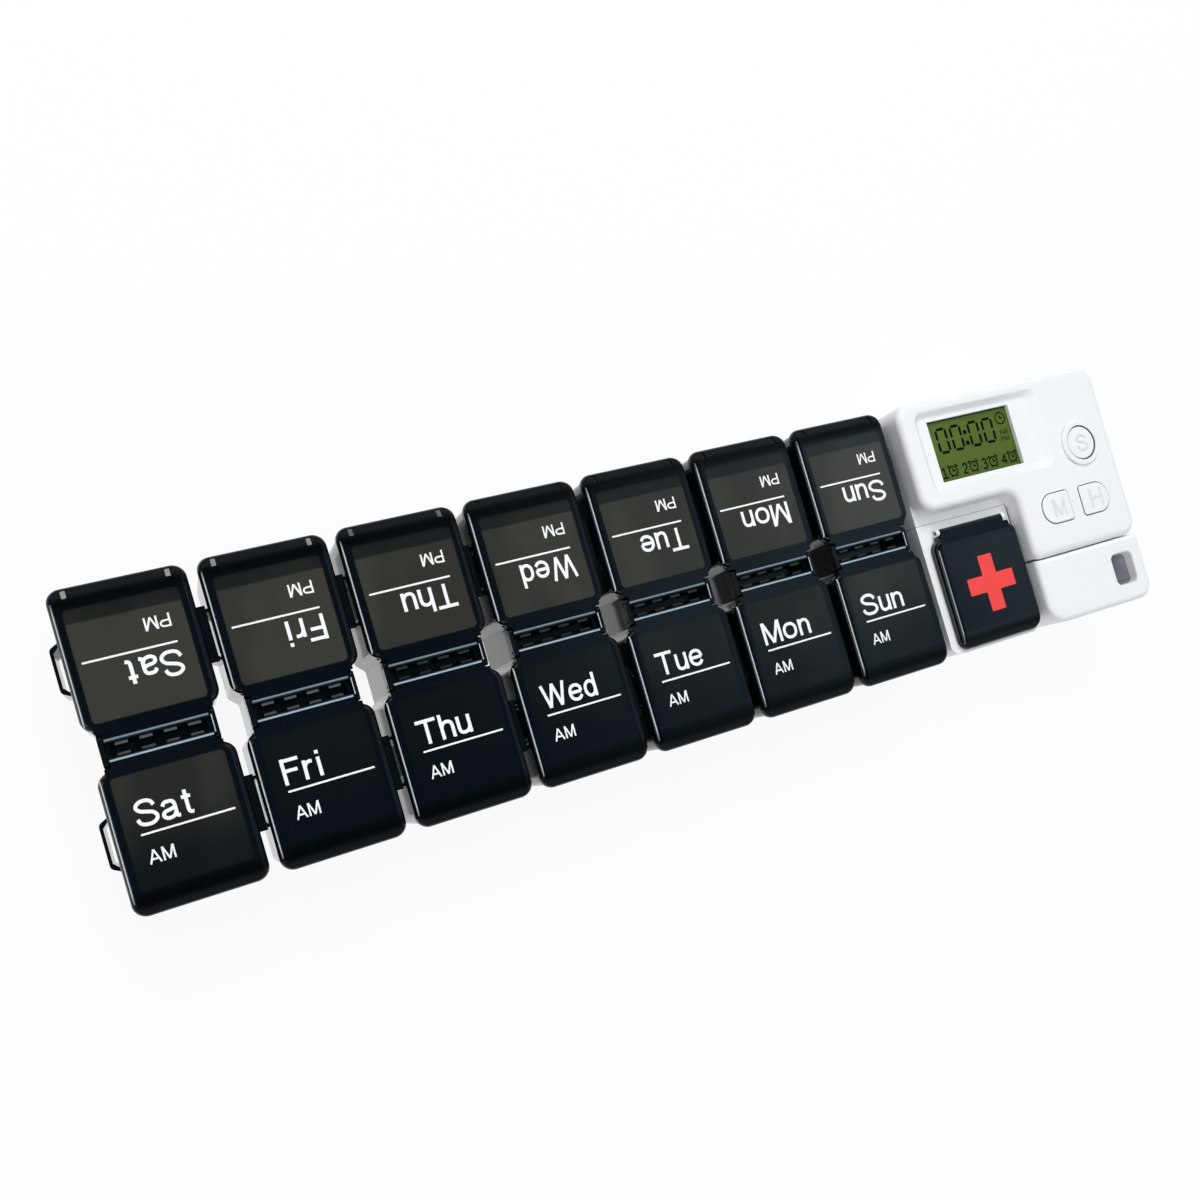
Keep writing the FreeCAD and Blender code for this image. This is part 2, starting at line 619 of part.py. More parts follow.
def bridge_body(label):
    """The saddle at the waist: a flange and plug, two ears with pin holes, and a ribbed groove."""
    body = new_body(label)
    flange = new_sketch(body, "XY_Plane", FLANGE_BASE)
    rectangle(flange, f"-{WAIST_HALF}", WAIST_HALF, f"-{CHEEK_REACH}", CHEEK_REACH)
    pad(body, flange, "flange_height")
    plug = new_sketch(body, "XY_Plane", f"{FLANGE_BASE} - plug_depth")
    rectangle(plug, f"snap_gap - {PLUG_HALF}", f"{PLUG_HALF} - snap_gap", f"-{CHEEK_REACH}", CHEEK_REACH)
    pad(body, plug, "plug_depth")
    ears = new_sketch(body, "XY_Plane", BOX_TOP)
    rectangle(ears, EAR_INNER, WAIST_HALF, f"-{CHEEK_REACH}", CHEEK_REACH)
    rectangle(ears, f"-{WAIST_HALF}", f"-{EAR_INNER}", f"-{CHEEK_REACH}", CHEEK_REACH)
    crest = f"({HINGE_Z} + cheek_radius)"
    pad(body, ears, f"{crest} - {BOX_TOP}")
    tops = edges(body, lambda point: near(point.z, crest) and near(abs(point.y), CHEEK_REACH))
    fillet(body, tops, "cheek_radius - pin_gap")
    holes = new_sketch(body, "YZ_Plane")
    for middle in ("hinge_offset", "-hinge_offset"):
        circle(holes, middle, HINGE_Z, "pin_radius + pin_gap")
    pocket(body, holes, f"4 * {WAIST_HALF}", both_sides=True)
    groove = new_sketch(body, "XY_Plane", BOX_TOP)
    rounded_rectangle(groove, f"-{GROOVE_HALF}", GROOVE_HALF, "-groove_width / 2", "groove_width / 2",
                      "groove_width / 5")
    pocket(body, groove, "groove_depth")
    ribs = new_sketch(body, "XY_Plane", f"{BOX_TOP} - groove_depth")
    face = "(groove_width / 2 - rib_reach)"
    root = "(groove_width / 2 + snap_gap)"
    for index in range(RIBS):
        middle = f"({index - (RIBS - 1) / 2} * 2 * {GROOVE_HALF} / {RIBS})"
        for front, rear in ((face, root), (f"-{root}", f"-{face}")):
            rectangle(ribs, f"{middle} - rib_width / 2", f"{middle} + rib_width / 2", front, rear)
    pad(body, ribs, "groove_depth + rib_rise")
    return body


def first_aid_box_body():
    """The white box in the timer's notch, with one bay and two ears for its lid."""
    body = new_body("first_aid_box")
    width = f"({COLUMN_LEFT} - running_gap)"
    front = f"(-{MODULE_FRONT})"
    outline = new_sketch(body, "XY_Plane")
    rectangle(outline, "0", width, front, "foot_front - snap_gap")
    pad(body, outline, BOX_TOP)
    fillet(body, upright_edges(body, [("0", front), (width, front)]), "box_corner")
    fillet(body, level_edges(body, "0"), "foot_round")
    bay = new_sketch(body, "XY_Plane", BOX_TOP)
    rounded_rectangle(bay, f"{FIRST_AID_X} - {BAY_HALF}", f"{FIRST_AID_X} + {BAY_HALF}",
                      f"lid_shift_y - {BAY_REACH}", f"lid_shift_y - {BAY_REAR}", "bay_corner")
    pocket(body, bay, f"{BOX_TOP} - box_floor")
    fillet(body, level_edges(body, "box_floor"), "bay_round")
    hinge = "(lid_shift_y - hinge_offset)"
    ear_rows = (f"{hinge} - cheek_radius", f"{hinge} + cheek_radius")
    ears = new_sketch(body, "XY_Plane", BOX_TOP)
    rectangle(ears, f"{FIRST_AID_X} + {EAR_INNER}", f"{FIRST_AID_X} + {WAIST_HALF}", *ear_rows)
    rectangle(ears, f"{FIRST_AID_X} - {WAIST_HALF}", f"{FIRST_AID_X} - {EAR_INNER}", *ear_rows)
    crest = f"({HINGE_Z} + cheek_radius)"
    pad(body, ears, f"{crest} - {BOX_TOP}")
    tops = edges(body, lambda point: near(point.z, crest) and any(near(point.y, row) for row in ear_rows))
    fillet(body, tops, "cheek_radius - pin_gap")
    holes = new_sketch(body, "YZ_Plane", FIRST_AID_X)
    circle(holes, hinge, HINGE_Z, "pin_radius + pin_gap")
    pocket(body, holes, f"2 * ({WAIST_HALF} + snap_gap)", both_sides=True)
    add_module_loop(body, -1)
    return body


def add_module_loop(body, side):
    """One of the two belt loops on the module's left-hand wall, which take the last pod's hooks."""
    loop = new_sketch(body, "XY_Plane", LOOP_BOTTOM)
    loop_outline(loop, "0", "-module_stand", side)
    pad(body, loop, "loop_height")
    fillet(body, upright_edges(body, loop_corners("-module_stand", side)), "loop_round")


def post_places():
    """Where the four case screws stand: two in the display block, two in the button column."""
    rear = f"({MODULE_REAR} - post_inset)"
    right = f"({MODULE_WIDTH} - post_inset)"
    return [("post_inset", rear), ("post_inset", "(block_front + post_inset)"), (right, rear),
            (right, f"(post_inset - {COLUMN_FRONT})")]


def l_outline(sketch, inset, block, front):
    """The L-shape of display block and button column, drawn in from the outer walls."""
    right = f"({MODULE_WIDTH} - {inset})"
    rear = f"({MODULE_REAR} - {inset})"
    inner_left = f"({COLUMN_LEFT} + {inset})"
    polygon(sketch, [(inset, block), (inner_left, block), (inner_left, front), (right, front), (right, rear),
                     (inset, rear)])


def rear_case_body():
    """The lower shell: timer tray, battery bay with its door opening, and the key ring block."""
    body = new_body("timer_rear_case")
    outline = new_sketch(body, "XY_Plane")
    front = f"(-{CASE_FRONT})"
    polygon(outline, [("0", "foot_front"), (KEY_LEFT, "foot_front"), (KEY_LEFT, front),
                      (MODULE_WIDTH, front), (MODULE_WIDTH, MODULE_REAR), ("0", MODULE_REAR)])
    pad(body, outline, BOX_TOP)
    block = new_sketch(body, "XY_Plane", BOX_TOP)
    rectangle(block, KEY_LEFT, MODULE_WIDTH, front, f"-{CAP_REAR}")
    pad(body, block, f"{CAP_BASE} - {BOX_TOP}")
    corners = [("0", MODULE_REAR), (MODULE_WIDTH, MODULE_REAR), (MODULE_WIDTH, front)]
    fillet(body, upright_edges(body, corners), "module_corner")
    fillet(body, upright_edges(body, [(KEY_LEFT, front)]), "key_corner")
    fillet(body, level_edges(body, "0"), "foot_round")
    tray = new_sketch(body, "XY_Plane", BOX_TOP)
    l_outline(tray, "case_wall", "block_front + case_wall", COLUMN_INNER_FRONT)
    pocket(body, tray, f"{BOX_TOP} - case_floor")
    hollow = new_sketch(body, "XY_Plane", CAP_BASE)
    rectangle(hollow, f"{COLUMN_LEFT} + case_wall", f"{SLOT_LEFT} - slot_wall", f"{front} + slot_wall",
              f"-{CAP_REAR} - case_wall")
    pocket(body, hollow, f"{CAP_BASE} - case_floor")
    ring_slot(body, CAP_BASE, CAP_BASE, "slot_step")
    posts = new_sketch(body, "XY_Plane", "case_floor / 2")
    for x, y in post_places():
        circle(posts, x, y, "post_radius")
    pad(body, posts, f"{BOARD_BASE} - case_floor / 2")
    ribs = new_sketch(body, "XY_Plane", "case_floor / 2")
    for x in (f"({BATTERY_X} + {BAY_SIDE})", f"({BATTERY_X} - {BAY_SIDE} - bay_rib)"):
        rectangle(ribs, x, f"{x} + bay_rib", f"{COLUMN_INNER_FRONT} - case_wall / 2",
                  f"{CASE_INNER_REAR} + case_wall / 2")
    pad(body, ribs, f"{CELL_Z} + cell_radius - case_floor / 2")
    for radius, depth in (("screw_radius", BOARD_BASE), ("screw_head_radius", HEAD_LEVEL)):
        bores = new_sketch(body, "XY_Plane")
        for x, y in post_places():
            circle(bores, x, y, f"{radius} + pin_gap")
        pocket(body, bores, depth, upward=True)
    opening = new_sketch(body, "XY_Plane")
    half = f"({DOOR_WIDTH} / 2 + running_gap)"
    beyond = f"({MODULE_REAR} + module_corner)"
    rectangle(opening, f"{BATTERY_X} - {half}", f"{BATTERY_X} + {half}", f"-{DOOR_FRONT} - running_gap",
              beyond)
    pocket(body, opening, "case_floor", upward=True)
    gate = new_sketch(body, "XY_Plane")
    rectangle(gate, f"{BATTERY_X} - {BAY_SIDE}", f"{BATTERY_X} + {BAY_SIDE}", CASE_INNER_REAR, beyond)
    pocket(body, gate, "case_floor + door_height + 2 * running_gap", upward=True)
    add_module_loop(body, 1)
    return body


def ring_slot(body, level, depth, margin):
    """The key ring slot, cut down through the front block; wider by a margin below the parting line."""
    slot = new_sketch(body, "XY_Plane", level)
    rounded_rectangle(slot, f"{SLOT_LEFT} - {margin}", f"{SLOT_RIGHT} + {margin}",
                      f"-{SLOT_FRONT} - {margin}", f"-{SLOT_REAR} + {margin}", f"slot_corner + {margin}")
    pocket(body, slot, depth)


def keyring_cap_body():
    """The upper half of the key ring block, with its rounded top edge."""
    body = new_body("keyring_cap")
    front = f"(-{CASE_FRONT})"
    outline = new_sketch(body, "XY_Plane", CAP_BASE)
    rectangle(outline, KEY_LEFT, MODULE_WIDTH, front, f"-{CAP_REAR}")
    pad(body, outline, "cap_height")
    fillet(body, upright_edges(body, [(MODULE_WIDTH, front)]), "module_corner")
    fillet(body, upright_edges(body, [(KEY_LEFT, front)]), "key_corner")
    top = f"({CAP_BASE} + cap_height)"
    fillet(body, level_edges(body, top), "cap_round")
    ring_slot(body, top, "cap_height", "0")
    rim = edges(body, lambda point: near(point.z, top) and within(point, SLOT_LEFT, SLOT_RIGHT,
                                                                  f"-{SLOT_FRONT}", f"-{SLOT_REAR}"))
    fillet(body, rim, "slot_corner / 3")
    return body


def key_rectangle(sketch, side, margin):
    """The straight-sided outline of a minute (-1) or hour (+1) button, grown by a margin."""
    flat = f"({KEYS_X} + {side} * (key_split / 2 - {margin}))"
    tip = f"({KEYS_X} + {side} * (key_split / 2 + key_length + {margin}))"
    left, right = (flat, tip) if side > 0 else (tip, flat)
    ends = [f"({KEYS_Y} - key_depth / 2 - {margin})", f"({KEYS_Y} + key_depth / 2 + {margin})"]
    rectangle(sketch, left, right, *ends)
    return [(tip, y) for y in ends], [(flat, y) for y in ends]


def front_cover_body():
    """The L-shaped upper shell: display recess, ring and holes for the buttons, and screw bosses."""
    body = new_body("timer_front_cover")
    outline = new_sketch(body, "XY_Plane", BOX_TOP)
    l_outline(outline, "0", "block_front", f"-{COLUMN_FRONT}")
    pad(body, outline, f"{TIMER_TOP} - {BOX_TOP}")
    outer = [("0", "block_front"), (MODULE_WIDTH, f"-{COLUMN_FRONT}"), (MODULE_WIDTH, MODULE_REAR),
             ("0", MODULE_REAR)]
    fillet(body, upright_edges(body, outer), "module_corner")
    fillet(body, upright_edges(body, [(COLUMN_LEFT, "block_front")]), "notch_round")
    fillet(body, upright_edges(body, [(COLUMN_LEFT, f"-{COLUMN_FRONT}")]), "column_corner")
    fillet(body, level_edges(body, TIMER_TOP), "cover_round")
    display_recess(body)
    set_ring(body)
    cover_inside(body)
    holes = new_sketch(body, "XY_Plane", f"{TIMER_TOP} + ring_height")
    circle(holes, SET_X, SET_Y, "set_radius + button_gap")
    pocket(body, holes, TIMER_TOP)
    for side in (-1, 1):
        keys = new_sketch(body, "XY_Plane", TIMER_TOP)
        tips, flats = key_rectangle(keys, side, "button_gap")
        pocket(body, keys, TIMER_TOP)
        fillet(body, upright_edges(body, tips), "key_nose + button_gap")
        fillet(body, upright_edges(body, flats), "key_round + button_gap")
    for places, roof in ((post_places()[:2], WINDOW_BASE), (post_places()[2:], CEILING)):
        bosses = new_sketch(body, "XY_Plane", BOARD_TOP)
        for x, y in places:
            circle(bosses, x, y, "boss_radius")
            circle(bosses, x, y, "screw_radius + pin_gap")
        pad(body, bosses, f"{roof} - {BOARD_TOP} + pin_gap")
    return body


def display_recess(body):
    """A dished recess with soft edges, steeper at three sides than at the right, and the opening in it."""
    left, right, front, rear = "recess_left", RECESS_RIGHT, RECESS_FRONT, RECESS_REAR
    brim = new_sketch(body, "XY_Plane", TIMER_TOP)
    rounded_rectangle(brim, left, right, front, rear, "recess_corner")
    dish = new_sketch(body, "XY_Plane", FLOOR_Z)
    rounded_rectangle(dish, f"{left} + recess_slope", f"{right} - recess_ramp", f"{front} + recess_slope",
                      f"{rear} - recess_slope", "recess_corner / 2")
    loft = body.newObject("PartDesign::SubtractiveLoft", "recess")
    loft.Profile = brim
    loft.Sections = [dish]
    loft.Ruled = True
    finish(loft)
    for level in (TIMER_TOP, FLOOR_Z):
        rounds = edges(body, lambda point: near(point.z, level) and within(point, left, right, front, rear))
        fillet(body, rounds, "recess_round")
    opening = new_sketch(body, "XY_Plane", FLOOR_Z)
    rectangle(opening, DISPLAY_LEFT, DISPLAY_RIGHT, DISPLAY_FRONT, DISPLAY_REAR)
    pocket(body, opening, f"{FLOOR_Z} - {BOX_TOP}")


def set_ring(body):
    """The raised ring round the round button."""
    ring = new_sketch(body, "XY_Plane", CEILING)
    circle(ring, SET_X, SET_Y, "ring_radius")
    pad(body, ring, "cover_skin + ring_height")
    fillet(body, level_edges(body, f"{TIMER_TOP} + ring_height"), "ring_round")


def cover_inside(body):
    """Hollow the cover from below, deeper over the buttons than under the display recess."""
    inner_left = f"({COLUMN_LEFT} + cover_wall)"
    inner_right = f"({MODULE_WIDTH} - cover_wall)"
    inner_front = f"(cover_wall - {COLUMN_FRONT})"
    lower = new_sketch(body, "XY_Plane", BOX_TOP)
    l_outline(lower, "cover_wall", "block_front + cover_wall", inner_front)
    pocket(body, lower, f"{WINDOW_BASE} - {BOX_TOP}", upward=True)
    upper = new_sketch(body, "XY_Plane", WINDOW_BASE)
    rectangle(upper, RECESS_RIGHT, inner_right, inner_front, f"{MODULE_REAR} - cover_wall")
    rectangle(upper, inner_left, RECESS_RIGHT, inner_front, f"{RECESS_FRONT} - cover_wall")
    pocket(body, upper, f"{CEILING} - {WINDOW_BASE}", upward=True)


def button_body(label, draw, top):
    """A button: its cap, a flange that keeps it in the cover, and the stem that presses the keypad."""
    body = new_body(label)
    flange_base = f"({CEILING} - running_gap - flange_thickness)"
    cap = new_sketch(body, "XY_Plane", flange_base)
    draw(body, cap, "0")
    pad(body, cap, f"{top} - {flange_base}")
    draw(body, None, "0")
    fillet(body, level_edges(body, top), "key_edge")
    flange = new_sketch(body, "XY_Plane", flange_base)
    draw(body, flange, "button_flange")
    pad(body, flange, "flange_thickness")
    stem = new_sketch(body, "XY_Plane", STEM_BASE)
    circle(stem, *draw(body, None, "centre"), "stem_radius")
    pad(body, stem, "stem_length")
    return body


def draw_set(body, sketch, margin):
    """Outline of the round button; without a sketch it only gives the centre."""
    if sketch is not None:
        circle(sketch, SET_X, SET_Y, f"set_radius + {margin}")
    return SET_X, SET_Y


def key_centre(side):
    return f"({KEYS_X} + {side} * (key_split / 2 + key_length / 2))", KEYS_Y


def draw_key(side):
    """Outline of a D-shaped button; its upright corners are rounded when called without a sketch."""
    def draw(body, sketch, margin):
        if sketch is not None:
            key_rectangle(sketch, side, margin)
        elif margin == "0":
            tip = f"({KEYS_X} + {side} * (key_split / 2 + key_length))"
            flat = f"({KEYS_X} + {side} * key_split / 2)"
            rows = (f"({KEYS_Y} - key_depth / 2)", f"({KEYS_Y} + key_depth / 2)")
            fillet(body, upright_edges(body, [(tip, y) for y in rows]), "key_nose")
            fillet(body, upright_edges(body, [(flat, y) for y in rows]), "key_round")
        return key_centre(side)
    return draw


def circuit_board_body():
    """The L-shaped board, clamped between the case posts and the cover bosses."""
    body = new_body("circuit_board")
    outline = new_sketch(body, "XY_Plane", BOARD_BASE)
    inset = "(case_wall + board_gap)"
    l_outline(outline, inset, f"block_front + {inset}", f"{inset} - {COLUMN_FRONT}")
    pad(body, outline, "board_height")
    holes = new_sketch(body, "XY_Plane", BOARD_TOP)
    for x, y in post_places():
        circle(holes, x, y, "screw_radius + snap_gap")
    pocket(body, holes, "board_height")
    return body


def keypad_body():
    """The rubber sheet on the board, a row and a stem with one dome under each button."""
    body = new_body("keypad_sheet")
    reach = "(dome_radius + sheet_margin)"
    row_left = f"({key_centre(-1)[0]} - {reach})"
    row_right = f"({key_centre(1)[0]} + {reach})"
    row_front = f"({KEYS_Y} - {reach})"
    row_rear = f"({KEYS_Y} + {reach})"
    stem_left = f"({SET_X} - {reach})"
    stem_right = f"({SET_X} + {reach})"
    stem_rear = f"({SET_Y} + {reach})"
    outline = new_sketch(body, "XY_Plane", BOARD_TOP)
    polygon(outline, [(row_left, row_front), (row_right, row_front), (row_right, row_rear),
                      (stem_right, row_rear), (stem_right, stem_rear), (stem_left, stem_rear),
                      (stem_left, row_rear), (row_left, row_rear)])
    pad(body, outline, "sheet_height")
    domes = new_sketch(body, "XY_Plane", BOARD_TOP)
    for x, y in ((SET_X, SET_Y), key_centre(-1), key_centre(1)):
        circle(domes, x, y, "dome_radius")
    pad(body, domes, f"{DOME_TOP} - {BOARD_TOP}")
    fillet(body, level_edges(body, DOME_TOP), "dome_radius / 4")
    return body


def block_body(label, left, right, front, rear, base, height):
    """A plain cut block, such as the display glass."""
    body = new_body(label)
    outline = new_sketch(body, "XY_Plane", base)
    rectangle(outline, left, right, front, rear)
    pad(body, outline, height)
    return body


def disc_body(label, x, y, radius, base, height):
    body = new_body(label)
    outline = new_sketch(body, "XY_Plane", base)
    circle(outline, x, y, radius)
    pad(body, outline, height)
    return body


def cell_body(label, side):
    """A round dry cell along Y, its tip towards the front or the rear by turns."""
    body = new_body(label)
    x = f"({BATTERY_X} + {side} * {CELL_STEP})"
    for radius, length, shift in (("cell_radius", "(cell_length - cell_tip)", f"{side} * cell_tip / 2"),
                                  ("cell_tip_radius", "cell_length", "0")):
        end = new_sketch(body, "XZ_Plane", f"-{CELL_Y} + {shift}")
        circle(end, x, CELL_Z, radius)
        pad(body, end, length, both_sides=True)
    return body


def primitive(kind, label, sizes, place, tilt=0):
    """A bound box, cylinder or cone, tilted about X and put in the module's frame."""
    item = doc.addObject(kind, label)
    for prop, formula in sizes.items():
        bind(item, prop, formula)
    item.Placement = FreeCAD.Placement(FreeCAD.Vector(), FreeCAD.Rotation(FreeCAD.Vector(1, 0, 0), tilt))
    for axis, formula in zip("xyz", place):
        bind(item, f"Placement.Base.{axis}", formula)
    return item


def join(kind, label, pieces):
    """Fuse pieces into one, or keep them as a set of separate ones."""
    item = doc.addObject(kind, label)
    item.Label = label
    if kind == "Part::Compound":
        item.Links = pieces
    else:
        item.Shapes = pieces
    return finish(item)


def battery_contacts():
    """Three spring plates at the ends of the cells, each with a round bump towards its cell."""
    half = f"({CELL_STEP} + cell_radius / 2)"
    base = f"({CELL_Z} - contact_height / 2)"
    bump = {"Radius1": "bump_base", "Radius2": "bump_tip", "Height": "contact_room - snap_gap"}
    short = f"({half} - contact_split)"
    rear_face = f"({CASE_INNER_REAR} - contact_thickness)"
    plates = [(f"{BATTERY_X} - {half}", f"2 * {half}", COLUMN_INNER_FRONT, (-1, 1)),
              (f"{BATTERY_X} - {half}", short, rear_face, (-1,)),
              (f"{BATTERY_X} + contact_split", short, rear_face, (1,))]
    contacts = []
    for left, width, face, sides in plates:
        front = face == COLUMN_INNER_FRONT
        wall = COLUMN_INNER_FRONT if front else CASE_INNER_REAR
        pieces = [primitive("Part::Box", "contact_plate", {"Length": width, "Width": "contact_thickness",
                                                           "Height": "contact_height"}, (left, face, base))]
        for side in sides:
            place = (f"{BATTERY_X} + {side} * {CELL_STEP}", wall, CELL_Z)
            pieces.append(primitive("Part::Cone", "contact_bump", bump, place, -90 if front else 90))
        contacts.append(join("Part::MultiFuse", "contact", pieces))
    return join("Part::Compound", "battery_contacts", contacts)


def door_body():
    """The sliding battery door: a T-section whose upper edges ride on the case floor."""
    body = new_body("battery_door")
    half = f"({DOOR_WIDTH} / 2)"
    shelf = "(case_floor + running_gap)"
    length = f"({MODULE_REAR} + {DOOR_FRONT})"
    section = new_sketch(body, "XZ_Plane", f"-({MODULE_REAR} - {length} / 2)")
    polygon(section, [(f"{BATTERY_X} - {half}", "0"), (f"{BATTERY_X} + {half}", "0"),
                      (f"{BATTERY_X} + {half}", shelf), (f"{BATTERY_X} + {DOOR_HALF}", shelf),
                      (f"{BATTERY_X} + {DOOR_HALF}", f"{shelf} + door_height"),
                      (f"{BATTERY_X} - {DOOR_HALF}", f"{shelf} + door_height"),
                      (f"{BATTERY_X} - {DOOR_HALF}", shelf), (f"{BATTERY_X} - {half}", shelf)])
    pad(body, section, length, both_sides=True)
    grip = new_sketch(body, "XY_Plane")
    for index in range(GRIPS):
        rear = f"({MODULE_REAR} - grip_inset - {index} * grip_pitch)"
        rectangle(grip, f"{BATTERY_X} - {half} / 2", f"{BATTERY_X} + {half} / 2", f"{rear} - grip_width",
                  rear)
    pocket(body, grip, "grip_depth", upward=True)
    return body


def case_screws():
    """Four pan-head screws, driven from below through the posts into the cover's bosses."""
    foot = f"({HEAD_LEVEL} - screw_head_height)"
    screws = []
    for x, y in post_places():
        head = primitive("Part::Cylinder", "screw_head", {"Radius": "screw_head_radius",
                                                          "Height": "screw_head_height"}, (x, y, foot))
        shank = primitive("Part::Cylinder", "screw_shank", {"Radius": "screw_radius",
                                                            "Height": f"{SCREW_TIP} - {foot}"}, (x, y, foot))
        screws.append(join("Part::MultiFuse", "screw", [head, shank]))
    return join("Part::Compound", "case_screws", screws)


def place_copy(master, label, x, y="0", turned=False):
    """Put a linked copy of a master piece in the row."""
    link = doc.addObject("App::Link", label)
    link.LinkedObject = master
    link.Label = label
    if turned:
        link.Placement = FreeCAD.Placement(FreeCAD.Vector(), FreeCAD.Rotation(FreeCAD.Vector(0, 0, 1), 180))
    bind(link, "Placement.Base.x", x)
    bind(link, "Placement.Base.y", y)
    parts[label] = link


def place_in_module(piece):
    """Move a piece of the timer module from its own frame to the end of the row."""
    bind(piece, "Placement.Base.x", MODULE_X)
    parts[piece.Label] = piece


def build_pods():
    box = day_box_body("day_box_pattern")
    bridge = bridge_body("hinge_bridge_pattern")
    morning = lid_body("lid_am_pattern", marked=False)
    evening = lid_body("lid_pm_pattern", marked=True)
    for index, day in enumerate(DAYS):
        x = f"{ROW_START} + {index} * {POD_PITCH}"
        place_copy(box, f"day_box_{day}", x)
        place_copy(bridge, f"hinge_bridge_{day}", x)
        place_copy(morning, f"lid_am_{day}", x, turned=True)
        place_copy(evening, f"lid_pm_{day}", x)
    place_copy(morning, "first_aid_lid", f"{MODULE_X} + {FIRST_AID_X}", "lid_shift_y", turned=True)


def build_module():
    panel_front = f"({DISPLAY_FRONT} - panel_border)"
    keys_top = f"({TIMER_TOP} + key_rise)"
    pieces = [
        first_aid_box_body(),
        rear_case_body(),
        keyring_cap_body(),
        front_cover_body(),
        button_body("button_set", draw_set, f"({TIMER_TOP} + ring_height - set_sink)"),
        button_body("button_minute", draw_key(-1), keys_top),
        button_body("button_hour", draw_key(1), keys_top),
        circuit_board_body(),
        keypad_body(),
        block_body("lcd_panel", f"{DISPLAY_LEFT} - panel_border", f"{DISPLAY_RIGHT} + panel_border",
                   panel_front, f"{DISPLAY_REAR} + panel_border", PANEL_BASE, "panel_height"),
        block_body("zebra_strip", DISPLAY_LEFT, DISPLAY_RIGHT, panel_front, f"{panel_front} + strip_width",
                   BOARD_TOP, f"{PANEL_BASE} - {BOARD_TOP}"),
        disc_body("buzzer", f"({DISPLAY_LEFT} + {DISPLAY_RIGHT}) / 2",
                  f"({DISPLAY_FRONT} + {DISPLAY_REAR}) / 2", "buzzer_radius",
                  f"{BOARD_BASE} - buzzer_height", "buzzer_height"),
        cell_body("battery_cell_1", -1),
        cell_body("battery_cell_2", 1),
        door_body(),
        battery_contacts(),
        case_screws(),
    ]
    for piece in pieces:
        place_in_module(piece)


def check_and_export():
    doc.recompute()
    for item in doc.Objects:
        if "Invalid" in item.State or "Error" in item.State:
            raise RuntimeError(f"{item.Label} is {item.State}")
    shapes = {label: item.Shape for label, item in parts.items()}
    for label, shape in shapes.items():
        if shape.isNull() or not shape.isValid() or not shape.Solids:
            raise RuntimeError(f"{label} has no valid solid")
    os.makedirs("parts", exist_ok=True)
    for label, shape in shapes.items():
        shape.exportStep(f"parts/{label}.step")
    print(len(shapes), "pieces written")


build_pods()
build_module()
check_and_export()
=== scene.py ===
import math

import bpy
from bpy.props import FloatProperty, FloatVectorProperty, PointerProperty
from mathutils import Matrix, Vector


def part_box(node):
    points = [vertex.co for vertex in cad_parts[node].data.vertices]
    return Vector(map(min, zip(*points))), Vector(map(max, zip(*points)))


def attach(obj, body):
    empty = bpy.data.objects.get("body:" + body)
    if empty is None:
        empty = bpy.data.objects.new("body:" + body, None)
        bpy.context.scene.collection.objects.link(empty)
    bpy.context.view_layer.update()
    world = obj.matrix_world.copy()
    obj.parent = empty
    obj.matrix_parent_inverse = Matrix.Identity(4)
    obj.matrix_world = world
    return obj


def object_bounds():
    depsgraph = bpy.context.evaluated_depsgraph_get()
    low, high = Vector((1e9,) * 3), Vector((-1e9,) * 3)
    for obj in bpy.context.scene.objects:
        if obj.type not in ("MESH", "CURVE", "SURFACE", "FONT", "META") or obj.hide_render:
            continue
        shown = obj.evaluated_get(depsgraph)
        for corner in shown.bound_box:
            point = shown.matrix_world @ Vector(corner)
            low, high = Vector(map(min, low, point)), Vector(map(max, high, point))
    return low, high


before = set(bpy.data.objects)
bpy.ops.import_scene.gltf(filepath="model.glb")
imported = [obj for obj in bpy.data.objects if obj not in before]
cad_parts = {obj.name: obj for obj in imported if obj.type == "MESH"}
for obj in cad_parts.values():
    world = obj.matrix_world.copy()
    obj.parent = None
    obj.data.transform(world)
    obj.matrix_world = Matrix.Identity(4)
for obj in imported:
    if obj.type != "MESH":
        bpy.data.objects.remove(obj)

bl_info = {
    "name": "Weekly pill organizer",
    "version": (1, 0, 0),
    "blender": (4, 5, 0),
    "location": "View3D > Sidebar > Organizer",
    "description": "Finishes, prints and stage for a row of day pods with an alarm timer",
    "category": "Object",
}

CAD_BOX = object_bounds()
MM = 0.001
DAYS = ("sat", "fri", "thu", "wed", "tue", "mon", "sun")
BUTTONS = ("set", "minute", "hour")
WHITE_NODES = ("timer_rear_case", "timer_front_cover", "keyring_cap", "first_aid_box", "battery_door")
INNER_NODES = {
    "circuit_board": "board", "keypad_sheet": "rubber", "zebra_strip": "rubber", "buzzer": "buzzer",
    "battery_cell_1": "cell", "battery_cell_2": "cell", "battery_contacts": "steel", "case_screws": "steel",
}

# The row of pods in millimetres, from its first two lids: the middle of the first pod, and the pitch.
FIRST_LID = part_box("lid_am_sat")
FIRST_POD = (FIRST_LID[0].x + FIRST_LID[1].x) / 2 / MM
POD_PITCH = (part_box("lid_am_fri")[0].x - FIRST_LID[0].x) / MM

# Places in millimetres on a lid, across from its middle and along from the middle line of the row.
# The panel is a painted reflection: its paler field stands for the lit compartment seen through the smoky lid
# and for the room it mirrors.
PANEL_MIDDLE = 17.75
PANEL_HALF = (11.4, 11.95)
PANEL_REAR_FADE = (26.4, 27.0)
PANEL_FRONT_FADE = (9.0, 27.0)
# Painted highlights: the barrel lines and the left edge lines stand for reflections of the lamps, and stay
# with the lid.
BARREL_LINE = 2.17
BARREL_LINE_HALF = (10.4, 0.19)
EDGE_LINE = (-13.2, 18.6)
EDGE_LINE_HALF = (0.12, 13.0)
